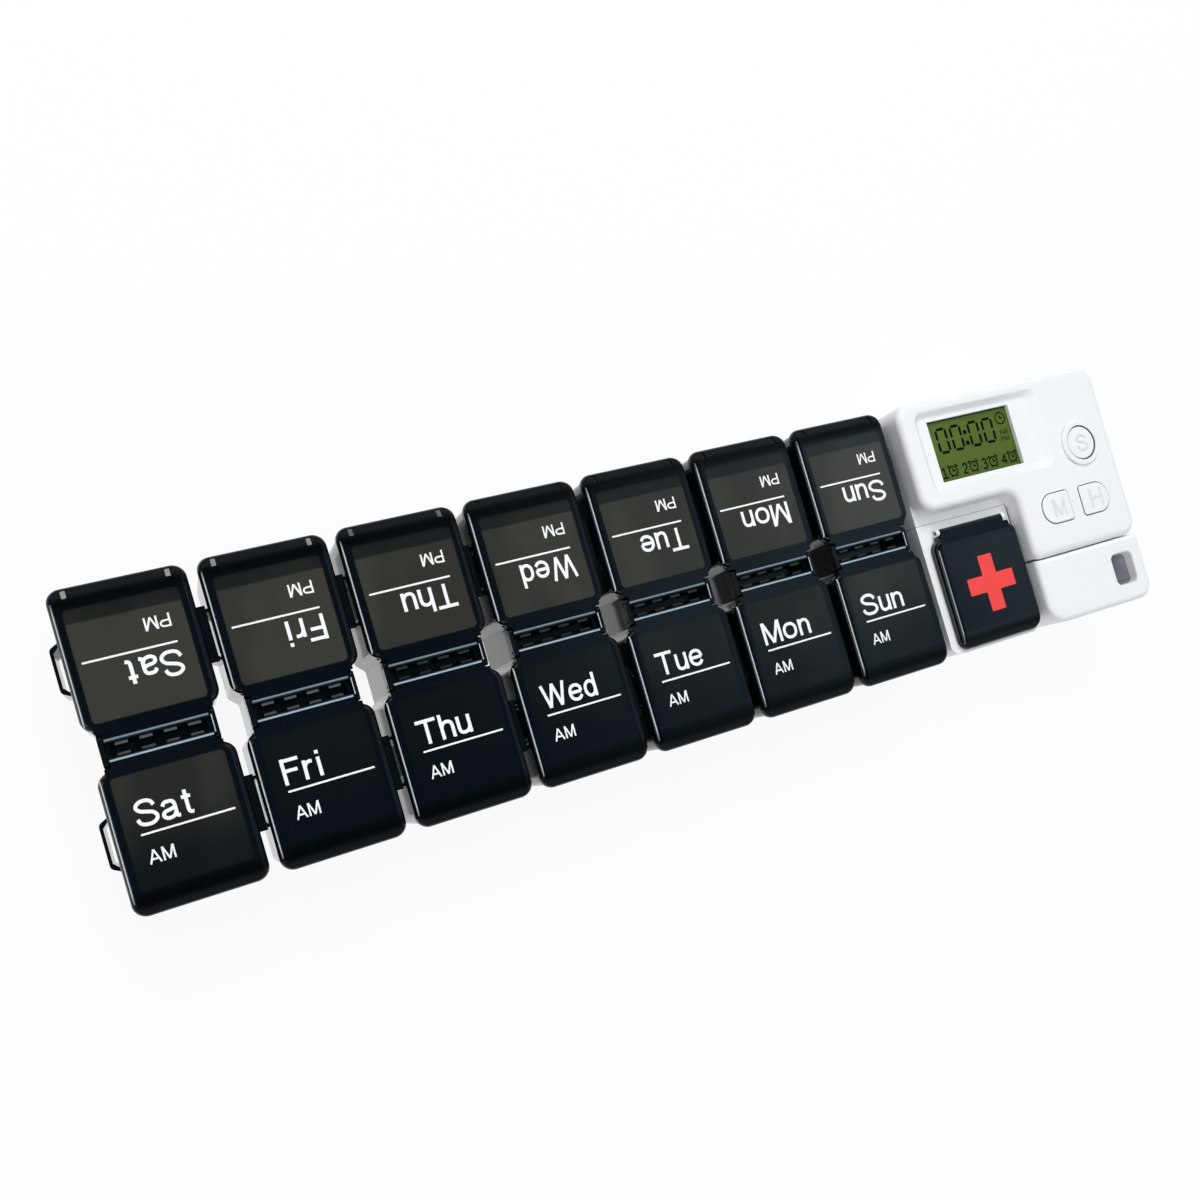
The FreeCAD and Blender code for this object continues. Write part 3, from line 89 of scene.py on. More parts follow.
# Where the nose falls away, the colour is painted darker as shade.
NOSE_FALL = (28.4, 32.2)
# Stretches in millimetres along the row in which the front panels' painted reflection grows paler, and the
# first lid ends.
PALER_STRETCH = (-60.0, 60.0)
FIRST_LID_END = (-113.0, -109.0)
# How much of the panel's painted reflection the rear lids and the front lids show, and what the right-hand
# front lids and the first one add to that.
DAY_SHARES = (1.0, 0.06, 0.36, 0.6)
FIRST_AID_SHARES = (1.0, 0.05, 0.0, 0.0)
# How pale the painted highlight lines on the rear barrels, the front barrels and the left edges are.
DAY_GLEAMS = (0.42, 0.72, 0.75)
FIRST_AID_GLEAMS = (0.0, 0.0, 0.5)

# Places in millimetres on a hinge bridge: ribs, right-hand ear, and where along the row the painted rib
# highlights fade.
RIB_HALF = (9.7, 1.45)
RIB_TOP = (22.1, 22.25)
RIB_FADE = (-90.0, -70.0)
EAR_ASIDE = 10.88
EAR_HALF = (0.1, 1.9)
EAR_TOP = (23.7, 24.0)

# Middle and half sides in millimetres of the key ring slot, with its walls.
SLOT_MIDDLE = (132.7, -24.3)
SLOT_HALF = (4.1, 4.7)
# Width in millimetres of the gaps between white pieces that are in shade.
SHADED_GAP = 0.9

# Noise cells in a metre of each kind of unevenness, and the depth of a moulding's waves in metres.
CLOUDS = 55.0
STREAKS = 62.0
WAVES = 90.0
SMUDGES = 140.0
SCUFFS = 800.0
DUST = 2600.0
WAVE_DEPTH = 0.0002
PLASTIC_IOR = 1.49

# Colours of dust, of painted highlights on ribs, ears, barrels and edges, of painted shade on the key ring
# slot's inner wall and at its parting line, and of the cells' band.
BOX_DUST = (0.10, 0.10, 0.10)
LID_DUST = (0.08, 0.08, 0.08)
RIB_HIGHLIGHT = (0.19, 0.19, 0.18)
EAR_HIGHLIGHT = (0.55, 0.66, 0.74)
BARREL_HIGHLIGHT = (0.48, 0.64, 0.76)
EDGE_HIGHLIGHT = (0.82, 0.85, 0.88)
SLOT_WALL_SHADE = (0.52, 0.49, 0.58)
PARTING_SHADOW = (0.10, 0.09, 0.12)
CELL_BAND = (0.03, 0.03, 0.035)

# Places and sizes in millimetres of the display's signs.
DISPLAY_HALF = (14.0, 8.45)
DIGIT_LEFTS = (84.55, 89.4, 95.5, 100.4)
COLON = 94.0
NUMBER_LEFTS = (82.85, 89.85, 96.75, 103.5)
NUMBER_WIDTH = 1.75
CLOCK_PLACE = (106.9, 25.5)
CLOCK_RADIUS = 1.6
CLOCK_LINE = 0.36
ALARM_MIDDLES = (86.7, 93.8, 100.6, 107.4)
ALARM_LIFT = 0.1
ALARM_RADIUS = 1.3
ALARM_LINE = 0.42
# An alarm clock's bells and feet: half length, thickness, place aside and up, and lean in degrees.
ALARM_LIMBS = (("bell", 0.55, 0.5, 1.32, 1.38, 38), ("foot", 0.3, 0.4, 0.95, -1.42, 50))
LIMB_ROUND = 0.12
# Unlit signs: left end, base line and width.
UNLIT_SIGNS = {"AM": (105.4, 21.0, 2.9), "PM": (105.5, 19.05, 2.7)}
UNLIT_HEIGHT = 1.35
# Shares of a segment's stroke: the gap at its ends, its tips, and the half side of a colon's dot.
SEGMENT_GAP = 0.72
SEGMENT_TIP = 0.4
COLON_DOT = 0.8
# Levels of the colon's dots, as shares of a digit's height.
COLON_LEVELS = (0.18, 0.65)
# Length of the minute and the hour hand, as shares of a clock's radius.
HANDS = (0.62, 0.55)
DISPLAY_SHEEN = 0.05

# Letters on the buttons: the letter, its width in millimetres and how far it stands to the right.
BUTTON_LETTERS = {"set": ("S", 4.2, 0.3), "minute": ("M", 4.6, 0.6), "hour": ("H", 4.6, 0.2)}
# Width in millimetres of each printed day name.
NAME_WIDTHS = {"sat": 11.3, "fri": 8.3, "thu": 12.4, "wed": 13.7, "tue": 12.4, "mon": 13.7, "sun": 12.9}
# Place of the plus sign from its lid's middle and the middle line, and its rounding, in millimetres.
PLUS_PLACE = (0.3, -17.5)
PLUS_ROUND = 0.25
# Display seal in millimetres.
SEAL_INSET = 1.0
SEAL_WIDTH = 0.55
SEAL_THICKNESS = 0.06
# Catch marks: how pale each lid's painted glimpse of the shaded floor is, and their half sides, thickness,
# rounding and place in millimetres.
MARKED_LIDS = {"sat": 1.0, "fri": 0.85, "thu": 0.35}
MARK_HALF = (0.5, 0.85)
MARK_THICKNESS = 0.08
MARK_ROUND = 0.15
MARK_PLACE = (10.3, 33.1)
# Share of a normal that counts as facing an axis, and the distance in metres that counts as none.
FACING = 0.9
NO_DISTANCE = 1e-6

# Studio lights: name, place, aim, size, power, and whether only polished faces see it.
LAMPS = (
    ("ceiling", (0.15, 0.25, 1.4), (0.0, 0.0, 0.0), (1.6, 1.6), 12.9, False),
    ("fill", (-0.7, -0.95, 0.7), (0.0, 0.0, 0.0), (1.4, 0.6), 5.6, False),
    ("key", (0.1, 0.95, 0.95), (0.05, 0.0, 0.0), (0.7, 0.6), 8.5, False),
    ("left_card", (-0.8, 0.0, 0.5), (0.0, 0.0, 0.05), (0.9, 0.5), 1.5, True),
    ("front_card", (0.35, -1.0, 0.62), (0.35, 0.0, 0.0), (2.2, 0.5), 2.4, True),
    ("rear_card", (0.35, 1.0, 0.62), (0.35, 0.0, 0.0), (2.2, 0.5), 3.2, True),
)
CARD_TINT = (0.86, 0.93, 1.0)
WHITE = (1.0, 1.0, 1.0)
# The floor's own colour, how much of the shadow shows, and the distances in metres between which it fades.
FLOOR_GREY = (0.86, 0.86, 0.86)
SHADOW_SHARE = 0.08
SHADOW_FADE = (0.3, 1.0)
# The room: its tone near the floor and overhead, and the sky in its window.
ROOM_LOW = (0.20, 0.225, 0.25)
ROOM_HIGH = (0.03, 0.055, 0.075)
WINDOW_SKY = (0.37, 0.50, 0.59)
# The camera's own directions.
CAMERA_RIGHT = (0.895545, -0.280116, 0.345738)
CAMERA_DOWN = (-0.255326, -0.959835, -0.116299)
CAMERA_AHEAD = (0.364428, 0.015875, -0.931096)
CLIP_START = 0.01

# Centre lines of the plain sans letters, in hundredths of the capital height. A stroke is a row of points;
# one that starts with "~" is a smooth curve and one that starts with "o" is a closed curve.
GLYPHS = {
    "S": (("~", 62, 71, 55, 86, 36, 93, 17, 86, 11, 73, 19, 60, 38, 52,
           58, 43, 65, 27, 56, 12, 37, 7, 16, 14, 8, 31),),
    "F": (("", 9, 0, 9, 100), ("", 9, 92, 59, 92), ("", 9, 52, 51, 52)),
    "T": (("", 0, 92, 66, 92), ("", 33, 0, 33, 92)),
    "W": (("", 6, 100, 27, 2), ("", 27, 2, 49, 98), ("", 49, 98, 71, 2), ("", 71, 2, 92, 100)),
    "M": (("", 9, 0, 9, 100), ("", 73, 0, 73, 100), ("", 11, 98, 41, 4), ("", 41, 4, 71, 98)),
    "A": (("", 6, 0, 38, 98), ("", 38, 98, 70, 0), ("", 17, 31, 59, 31)),
    "P": (("", 9, 0, 9, 100), ("~", 9, 92, 38, 92, 55, 87, 61, 72, 55, 56, 38, 50, 9, 50)),
    "H": (("", 9, 0, 9, 100), ("", 66, 0, 66, 100), ("", 9, 52, 66, 52)),
    "a": (("~", 9, 53, 15, 64, 28, 67, 40, 63, 44, 52), ("", 44, 53, 44, 16), ("~", 44, 18, 46, 9, 54, 7),
          ("~", 44, 41, 28, 36, 12, 31, 7, 19, 14, 9, 26, 7, 38, 13, 44, 25)),
    "t": (("", 15, 92, 15, 20), ("~", 15, 21, 18, 10, 29, 7), ("", 2, 67, 29, 67)),
    "r": (("", 9, 0, 9, 74), ("~", 9, 45, 15, 60, 25, 66, 34, 65)),
    "i": (("", 9, 0, 9, 74), ("", 9, 86, 9, 100)),
    "h": (("", 9, 0, 9, 100), ("~", 9, 44, 15, 60, 28, 67, 41, 61, 45, 47), ("", 45, 49, 45, 0)),
    "u": (("", 9, 74, 9, 25), ("~", 9, 27, 13, 12, 25, 7, 38, 13, 45, 30), ("", 45, 74, 45, 0)),
    "e": (("", 9, 38, 51, 38), ("~", 51, 38, 47, 58, 30, 67, 14, 59, 8, 37, 14, 15, 30, 7, 43, 11, 51, 22)),
    "d": (("o", 45, 37, 41, 58, 27, 67, 13, 58, 8, 37, 13, 16, 27, 7, 41, 16), ("", 46, 0, 46, 100)),
    "o": (("o", 8, 37, 14, 59, 31, 67, 48, 59, 54, 37, 48, 15, 31, 7, 14, 15),),
    "n": (("", 9, 0, 9, 74), ("~", 9, 44, 15, 60, 28, 67, 41, 61, 45, 47), ("", 45, 49, 45, 0)),
    "1": (("", 32, 0, 32, 98), ("", 8, 80, 32, 96), ("", 6, 6, 58, 6)),
    "2": (("~", 7, 76, 15, 91, 31, 95, 47, 88, 50, 72, 40, 51, 22, 29, 8, 7), ("", 5, 7, 56, 7)),
    "3": (("~", 8, 84, 20, 94, 36, 94, 48, 83, 44, 63, 24, 54),
          ("~", 24, 54, 46, 48, 54, 29, 44, 11, 25, 5, 6, 14)),
    "4": (("", 43, 0, 43, 98), ("", 43, 96, 5, 32), ("", 2, 31, 60, 31)),
}
# Room in the same units between two letters, the width of a stroke, and how far the letters are spread.
LETTER_GAP = 6.0
LETTER_STROKE = 13.5
LETTER_SPREAD = 1.2
# Width in the same units of the finer strokes: alarm numbers, unlit signs and button letters.
NUMBER_STROKE = 18.0
UNLIT_STROKE = 22.0
BUTTON_STROKE = 19.0


def a_length(name, description, size):
    """A property that holds a length, with its default in millimetres."""
    return FloatProperty(name=name, description=description, default=size * MM, unit="LENGTH")


def a_colour(name, description, default):
    """A property that holds a base colour."""
    return FloatVectorProperty(name=name, description=description, default=default, subtype="COLOR")


class PrintSizes(bpy.types.PropertyGroup):
    """Sizes of what is printed on the lids, measured from the pod's middle line."""

    name_height: a_length("Name height", "Capital height of a day name", 5.65)
    name_base: a_length("Name base", "Base line of a day name from the middle line", 17.0)
    name_left: a_length("Name left", "Left end of a day name from the lid's middle", -8.65)
    rule_near: a_length("Rule", "Middle of the ruled line from the middle line", 18.4)
    rule_left: a_length("Rule left", "Left end of the ruled line", -8.5)
    rule_right: a_length("Rule right", "Right end of the ruled line", 10.4)
    rule_width: a_length("Rule width", "Thickness of the ruled line", 0.42)
    half_height: a_length("AM height", "Capital height of AM and PM", 2.85)
    half_base: a_length("AM base", "Base line of AM and PM from the middle line", 24.65)
    half_width: a_length("AM width", "Width of AM and PM", 5.25)
    half_left: a_length("AM left", "Left end of AM and PM", -8.3)
    ink: a_length("Ink", "Thickness of the ink film", 0.03)
    plus_span: a_length("Plus", "Length of the plus sign", 15.5)
    plus_arm: a_length("Plus arm", "Width of the plus sign's arms", 4.65)


class TimerSizes(bpy.types.PropertyGroup):
    """Sizes of the signs on the display and the letters on the buttons."""

    digit_height: a_length("Digits", "Height of the clock digits", 6.5)
    digit_width: a_length("Digit width", "Width of a clock digit", 3.15)
    digit_top: a_length("Digit top", "Top of the clock digits", 26.2)
    stroke: a_length("Stroke", "Width of a display segment", 0.74)
    sign_height: a_length("Alarm signs", "Height of the alarm numbers", 3.0)
    sign_base: a_length("Alarm base", "Base line of the alarm row", 12.7)
    letter_height: a_length("Letters", "Height of the button letters", 4.9)
    letter_rise: a_length("Letter rise", "How far the button letters stand up", 0.19)


class FinishColours(bpy.types.PropertyGroup):
    """Base colours of the finishes."""

    pod: a_colour("Pods", "Black pods and lids", (0.0022, 0.0038, 0.0054))
    # Painted reflection: the lid panels' colour stands for the lit compartment seen through the smoky lid and
    # the room it mirrors.
    panel: a_colour("Lid panels", "Smoky middle of a lid", (0.045, 0.043, 0.034))
    timer: a_colour("Timer", "White timer shells", (0.91, 0.905, 0.905))
    display: a_colour("Display", "Display background", (0.084, 0.128, 0.015))
    segment: a_colour("Segments", "Dark display segments", (0.003, 0.004, 0.002))
    alarm: a_colour("Alarm row", "Dark green alarm signs", (0.006, 0.012, 0.004))
    faint: a_colour("Faint segments", "Unlit display segments", (0.032, 0.055, 0.011))
    ink: a_colour("White ink", "Printed words", (0.95, 0.95, 0.95))
    plus: a_colour("Red ink", "Printed plus sign", (0.92, 0.062, 0.055))
    # Painted shade: the catch marks' colour stands for the shaded floor seen at the lids' rear edge.
    mark: a_colour("Marks", "Pale catch marks", (0.30, 0.27, 0.22))
    board: a_colour("Board", "Lacquer of the circuit board", (0.02, 0.12, 0.05))
    rubber: a_colour("Rubber", "Keypad and display connector", (0.16, 0.16, 0.16))
    buzzer: a_colour("Buzzer", "Can of the buzzer", (0.02, 0.02, 0.02))
    sleeve: a_colour("Cells", "Sleeve of the dry cells", (0.35, 0.35, 0.36))
    steel: a_colour("Steel", "Battery contacts and screws", (0.60, 0.60, 0.60))
    seal: a_colour("Seal", "Seal of the display", (0.006, 0.006, 0.006))


class StageSizes(bpy.types.PropertyGroup):
    """Camera and floor."""

    lens: FloatProperty(name="Lens", description="Focal length in millimetres on a 36 mm sensor",
                        default=35.348)
    shift_x: FloatProperty(name="Shift X", description="Sideways lens shift", default=-0.01493)
    shift_y: FloatProperty(name="Shift Y", description="Upward lens shift", default=0.05808)
    camera: FloatVectorProperty(name="Camera", description="Camera place", subtype="TRANSLATION",
                                default=(-0.12517, -0.01703, 0.28516))
    floor: FloatProperty(name="Floor", description="Side of the floor", default=6.0, unit="LENGTH")


class Socket:
    """A shader output that adds Math nodes when it is used in an expression."""

    def __init__(self, sheet, link):
        self.sheet = sheet
        self.link = link

    def __add__(self, other):
        return self.sheet.math("ADD", self, other)

    def __sub__(self, other):
        return self.sheet.math("SUBTRACT", self, other)

    def __rsub__(self, other):
        return self.sheet.math("SUBTRACT", other, self)

    def __mul__(self, other):
        return self.sheet.math("MULTIPLY", self, other)

    def __truediv__(self, other):
        return self.sheet.math("DIVIDE", self, other)

    __radd__ = __add__
    __rmul__ = __mul__


class NodeSheet:
    """A node tree, and the one way in which nodes are added to it."""

    def __init__(self, tree):
        self.tree = tree
        tree.nodes.clear()

    def node(self, kind, settings, inputs, output=0):
        """Add a node, set it up, and give one of its outputs, or the node itself if it has none."""
        node = self.tree.nodes.new(kind)
        for name, setting in settings.items():
            setattr(node, name, setting)
        for name, source in inputs.items():
            if isinstance(source, Socket):
                self.tree.links.new(source.link, node.inputs[name])
            else:
                node.inputs[name].default_value = source
        return Socket(self, node.outputs[output]) if len(node.outputs) else node

    def math(self, operation, left, right):
        """A Math node on two values."""
        return self.node("ShaderNodeMath", {"operation": operation}, {0: left, 1: right})

    def ramp(self, factor, low, high):
        """0 below low, 1 above high, and a smooth rise between."""
        return self.node("ShaderNodeMapRange", {"interpolation_type": "SMOOTHSTEP"},
                         {"Value": factor, "From Min": low, "From Max": high})

    def noise(self, place, scale, detail=2.0):
        """Even noise with a number of cells in a metre."""
        return self.node("ShaderNodeTexNoise", {}, {"Vector": place, "Scale": scale, "Detail": detail})

    def mix(self, factor, first, second):
        """A colour between two colours."""
        first, second = (colour if isinstance(colour, Socket) else (*colour, 1.0)
                         for colour in (first, second))
        return self.node("ShaderNodeMix", {"data_type": "RGBA"}, {0: factor, 6: first, 7: second}, 2)

    def parts(self, place):
        """The three parts of a vector."""
        outputs = self.node("ShaderNodeSeparateXYZ", {}, {"Vector": place}).link.node.outputs
        return [Socket(self, output) for output in outputs]

    def patch(self, across, along, half_width, half_length, corner, soft):
        """1 inside a rounded rectangle about the origin, 0 outside it."""
        beyond = []
        for offset, half in ((across, half_width), (along, half_length)):
            beyond.append(self.math("MAXIMUM", self.math("ABSOLUTE", offset, 0.0) - (half - corner), 0.0))
        distance = self.math("SQRT", beyond[0] * beyond[0] + beyond[1] * beyond[1], 0.0)
        return 1.0 - self.ramp(distance, corner - soft, corner + soft)


def shaded(colour, factor):
    """A colour made darker or lighter."""
    return tuple(channel * factor for channel in colour)


def new_finish(name):
    """An empty material and its node sheet, with Object coordinates ready."""
    material = bpy.data.materials.new(name)
    material.use_nodes = True
    sheet = NodeSheet(material.node_tree)
    place = sheet.node("ShaderNodeTexCoord", {}, {}, "Object")
    return material, sheet, place


def close_finish(sheet, inputs, bump=None):
    """The shader and output of a finish; bump is a height, a strength and a depth."""
    if bump is not None:
        height, strength, depth = bump
        inputs["Normal"] = sheet.node("ShaderNodeBump", {}, {"Height": height, "Strength": strength,
                                                             "Distance": depth})
    surface = sheet.node("ShaderNodeBsdfPrincipled", {}, inputs)
    sheet.node("ShaderNodeOutputMaterial", {}, {"Surface": surface})


def toned(sheet, factor, colour, dark, light):
    """A colour that a factor takes from a darker to a lighter share of itself."""
    return sheet.mix(factor, shaded(colour, dark), shaded(colour, light))


def clouded(sheet, cloud, colour):
    """The colour of a black moulding with faint clouds in it."""
    return toned(sheet, cloud, colour, 0.75, 1.3)


def handled(sheet, place):
    """Where fingers have smudged a polish, and where specks of dust lie on it."""
    smudge = sheet.ramp(sheet.noise(place, SMUDGES, 4.0), 0.42, 0.72)
    speck = sheet.ramp(sheet.noise(place, DUST, 1.0), 0.76, 0.82)
    return smudge, speck


def across_pod(sheet, x, first):
    """Distance in millimetres across the row from the middle of the nearest pod."""
    half = POD_PITCH / 2
    return sheet.node("ShaderNodeMath", {"operation": "WRAP"}, {0: x - first, 1: half, 2: -half})


def gloss_black(name, colour, polish):
    """Polished black moulding: faint clouds, smudges in the gloss, dust and a slight surface wave."""
    material, sheet, place = new_finish(name)
    smudge, speck = handled(sheet, place)
    wave = sheet.noise(place, WAVES, 1.0)
    base = clouded(sheet, sheet.noise(place, CLOUDS), colour)
    dusty = sheet.mix(speck * 0.5, base, BOX_DUST)
    close_finish(sheet, {"Base Color": dusty, "Roughness": polish + 0.05 * smudge + 0.2 * speck,
                         "IOR": PLASTIC_IOR}, bump=(wave, 0.08, WAVE_DEPTH))
    return material


def highlit_black(name, colour, first):
    """Black hinge bridges with painted highlights: paler rib tops in the groove, brighter in the rear row and
    fading along the row, and a pale line on the right-hand ear.
    """
    material, sheet, place = new_finish(name)
    x, y, z = (part / MM for part in sheet.parts(place))
    across = across_pod(sheet, x, first)
    cloud = sheet.noise(place, CLOUDS)
    scuff = sheet.noise(place, SCUFFS, 3.0)
    # Painted highlights: lit rib tops, brighter in the rear row and fading along the row, and a pale line on
    # the right-hand ear; scuffs only vary them.
    lit_share = (0.35 + 0.65 * sheet.ramp(y, -0.5, 0.5)) * (1.0 - 0.75 * sheet.ramp(x, *RIB_FADE))
    rib = sheet.patch(across, y, *RIB_HALF, 0.1, 0.05) * sheet.ramp(z, *RIB_TOP) * lit_share
    ear = sheet.patch(across - EAR_ASIDE, y, *EAR_HALF, 0.1, 0.05) * sheet.ramp(z, *EAR_TOP)
    base = clouded(sheet, cloud, colour)
    highlighted = sheet.mix(ear, sheet.mix(rib * (0.5 + scuff), base, RIB_HIGHLIGHT), EAR_HIGHLIGHT)
    close_finish(sheet, {"Base Color": highlighted, "Roughness": 0.12 + 0.2 * scuff, "IOR": PLASTIC_IOR},
                 bump=(cloud, 0.06, WAVE_DEPTH))
    return material


def smoked_lid(name, colour, panel, first, shares, gleams):
    """A polished black lid with painted light: a paler smoky flat field inside a darker border, painted as
    the lit compartment seen through the lid and the room it mirrors, pale painted highlight lines on its
    barrels and left edges, and painted shade on its noses.

    first is the middle of the first lid in millimetres. shares and gleams are numbers like DAY_SHARES and
    DAY_GLEAMS.
    """
    material, sheet, place = new_finish(name)
    x, y, _ = (part / MM for part in sheet.parts(place))
    across = across_pod(sheet, x, first)
    reach = sheet.math("ABSOLUTE", y, 0.0)
    rear = sheet.ramp(y, -1.0, 1.0)
    front = 1.0 - rear
    smudge, speck = handled(sheet, place)

    # Painted reflection: the paler field, with its fades and streaks, stands for the lit compartment seen
    # through the lid and the room it mirrors; it is paler on the rear lids, on the right-hand front lids and
    # on the first one.
    field = sheet.patch(across, reach - PANEL_MIDDLE, *PANEL_HALF, 1.0, 0.22)
    rear_tone = shares[0] * (1.0 - 0.7 * sheet.ramp(reach, *PANEL_REAR_FADE))
    front_share = shares[1] + shares[2] * sheet.ramp(x, *PALER_STRETCH)
    first_share = shares[3] * (1.0 - sheet.ramp(x, *FIRST_LID_END))
    front_tone = (front_share + first_share) * (1.0 - 0.85 * sheet.ramp(reach, *PANEL_FRONT_FADE))
    tone = rear_tone * rear + front_tone * front
    stretched = sheet.node("ShaderNodeMapping", {}, {"Vector": place, "Scale": (1.0, 0.45, 1.0)})
    patchy = 0.72 + 0.5 * sheet.ramp(sheet.noise(stretched, STREAKS), 0.36, 0.66)
    border = clouded(sheet, sheet.noise(place, CLOUDS), colour)
    base = sheet.mix(field * tone * patchy, border, panel)
    dusty = sheet.mix(speck * 0.4, base, LID_DUST)

    # Painted highlights: pale lines on the barrels and along the left edges stand for reflections of the
    # lamps.
    barrel = sheet.patch(across, reach - BARREL_LINE, *BARREL_LINE_HALF, 0.1, 0.07)
    barrel_highlight = barrel * (gleams[0] * rear + gleams[1] * front)
    edge = sheet.patch(across - EDGE_LINE[0], reach - EDGE_LINE[1], *EDGE_LINE_HALF, 0.12, 0.07)
    highlighted = sheet.mix(edge * gleams[2], sheet.mix(barrel_highlight, dusty, BARREL_HIGHLIGHT), EDGE_HIGHLIGHT)
    # Painted shade: the noses get a darker base colour, partly metallic and rougher, so that they show little
    # reflection.
    nose = sheet.ramp(reach, *NOSE_FALL)
    dulled_and_shaded = sheet.mix(nose * 0.7, highlighted, shaded(colour, 0.25))
    wave = sheet.noise(place, WAVES, 1.0)
    close_finish(sheet, {"Base Color": dulled_and_shaded, "Roughness": 0.07 + 0.06 * smudge + 0.2 * nose,
                         "Metallic": nose * 0.65, "IOR": PLASTIC_IOR}, bump=(wave, 0.06, WAVE_DEPTH))
    return material


def satin_white(name, colour):
    """White satin moulding: fine grain, painted shade in tight gaps and deeper around the buttons, and a wall
    in the key ring slot painted greyer as shade, with a painted shadow line at the parting.
    """
    material, sheet, place = new_finish(name)
    x, y, z = (part / MM for part in sheet.parts(place))
    grain = sheet.noise(place, 3200.0, 1.0)
    # Painted shade: around the buttons the darkening of tight gaps is made deeper.
    button_shade = 0.0
    for button in BUTTONS:
        low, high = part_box(f"button_{button}")
        middle, half = (low + high) / 2 / MM, (high - low) / 2 / MM
        around = sheet.patch(x - middle.x, y - middle.y, half.x, half.y, 1.0, 0.2)
        button_shade = sheet.math("MAXIMUM", around, button_shade)
    # Painted shade: an ambient occlusion node darkens the colour in tight gaps.
    shade = sheet.node("ShaderNodeAmbientOcclusion", {"samples": 8}, {"Distance": SHADED_GAP * MM}, "AO")
    open_air = sheet.ramp(shade - 0.2 * button_shade, 0.08, 0.58)
    clean = toned(sheet, sheet.noise(place, 30.0), colour, 0.975, 1.015)
    # Painted shade: the slot's wall below the parting is painted greyer, and a dark painted shadow line runs
    # along the parting.
    slot = sheet.patch(x - SLOT_MIDDLE[0], y - SLOT_MIDDLE[1], *SLOT_HALF, 1.0, 0.1)
    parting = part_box("keyring_cap")[0].z / MM
    below = slot * (1.0 - sheet.ramp(z, parting - 0.1, parting + 0.1))
    line = slot * (1.0 - sheet.ramp(sheet.math("ABSOLUTE", z - parting, 0.0), 0.08, 0.2))
    slot_shaded = sheet.mix(line, sheet.mix(below, clean, SLOT_WALL_SHADE), PARTING_SHADOW)
    base = sheet.mix(open_air, shaded(colour, 0.03), slot_shaded)
    close_finish(sheet, {"Base Color": base, "Roughness": 0.40 + 0.12 * grain, "IOR": 1.5},
                 bump=(grain, 0.12, 0.00003))
    return material


def display_green(name, colour):
    """The reflective display: an olive field, paler towards its rear left corner, under a faint haze."""
    material, sheet, place = new_finish(name)
    low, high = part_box("lcd_panel")
    middle = (low + high) / 2
    x, y, _ = sheet.parts(place)
    across = (x - middle.x) / (DISPLAY_HALF[0] * MM)
    along = (y - middle.y) / (DISPLAY_HALF[1] * MM)
    tone = 0.5 + 0.16 * along - 0.10 * across + 0.12 * sheet.noise(place, 160.0)
    haze = sheet.noise(place, 700.0)
    close_finish(sheet, {"Base Color": toned(sheet, tone, colour, 0.78, 1.22),
                         "Roughness": 0.12 + 0.06 * haze, "Specular IOR Level": 0.3},
                 bump=(haze, 0.03, 0.00002))
    return material


def ink_film(name, colour, sheen=0.5):
    """Screen printed ink: nearly even, a little mottled, with a fine stipple."""
    material, sheet, place = new_finish(name)
    mottle = sheet.noise(place, 900.0, 3.0)
    stipple = sheet.noise(place, 6000.0, 1.0)
    close_finish(sheet, {"Base Color": toned(sheet, mottle, colour, 0.93, 1.06),
                         "Roughness": 0.42 + 0.15 * mottle, "Specular IOR Level": sheen},
                 bump=(stipple, 0.1, 0.00001))
    return material


def soft_rubber(name, colour):
    """Dull rubber with a fine grain."""
    material, sheet, place = new_finish(name)
    grain = sheet.noise(place, 2000.0)
    close_finish(sheet, {"Base Color": toned(sheet, grain, colour, 0.85, 1.15),
                         "Roughness": 0.62 + 0.15 * grain}, bump=(grain, 0.2, 0.00003))
    return material


def laminate_green(name, colour):
    """Circuit board: green lacquer over copper tracks that show as paler lines."""
    material, sheet, place = new_finish(name)
    track = sheet.node("ShaderNodeTexBrick", {"offset": 0.5},
                       {"Vector": place, "Scale": 260.0, "Mortar Size": 0.04}, "Fac")
    weave = sheet.noise(place, 1500.0)
    lacquer = toned(sheet, weave, colour, 0.85, 1.15)
    base = sheet.mix(track * 0.6, lacquer, shaded(colour, 2.6))
    close_finish(sheet, {"Base Color": base, "Roughness": 0.32 + 0.1 * weave}, bump=(track, 0.2, 0.00004))
    return material


def bare_steel(name, colour):
    """Plated steel with a drawn grain."""
    material, sheet, place = new_finish(name)
    stretched = sheet.node("ShaderNodeMapping", {}, {"Vector": place, "Scale": (1.0, 1.0, 0.05)})
    grain = sheet.noise(stretched, 3000.0)
    close_finish(sheet, {"Base Color": toned(sheet, grain, colour, 0.85, 1.1), "Metallic": 1.0,
                         "Roughness": 0.22 + 0.18 * grain}, bump=(grain, 0.05, 0.00001))
    return material


def cell_can(name, colour):
    """A plain dry cell: a grey sleeve with a darker band at one end."""
    material, sheet, place = new_finish(name)
    _, along, _ = sheet.parts(place)
    band = sheet.ramp(along, 18.0 * MM, 18.2 * MM)
    scuff = sheet.noise(place, 500.0, 3.0)
    base = sheet.mix(band, toned(sheet, scuff, colour, 0.9, 1.1), CELL_BAND)
    close_finish(sheet, {"Base Color": base, "Roughness": 0.28 + 0.12 * scuff, "Metallic": 0.4},
                 bump=(scuff, 0.04, 0.00002))
    return material


def middle_x(node):
    """The middle of a CAD node along the row."""
    low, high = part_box(node)
    return (low.x + high.x) / 2


def paint(node, material):
    """Give a CAD node a finish."""
    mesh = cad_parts[node].data
    mesh.materials.clear()
    mesh.materials.append(material)


def deselect():
    """Select nothing, so that the next operator acts on its own piece alone."""
    bpy.ops.object.select_all(action="DESELECT")


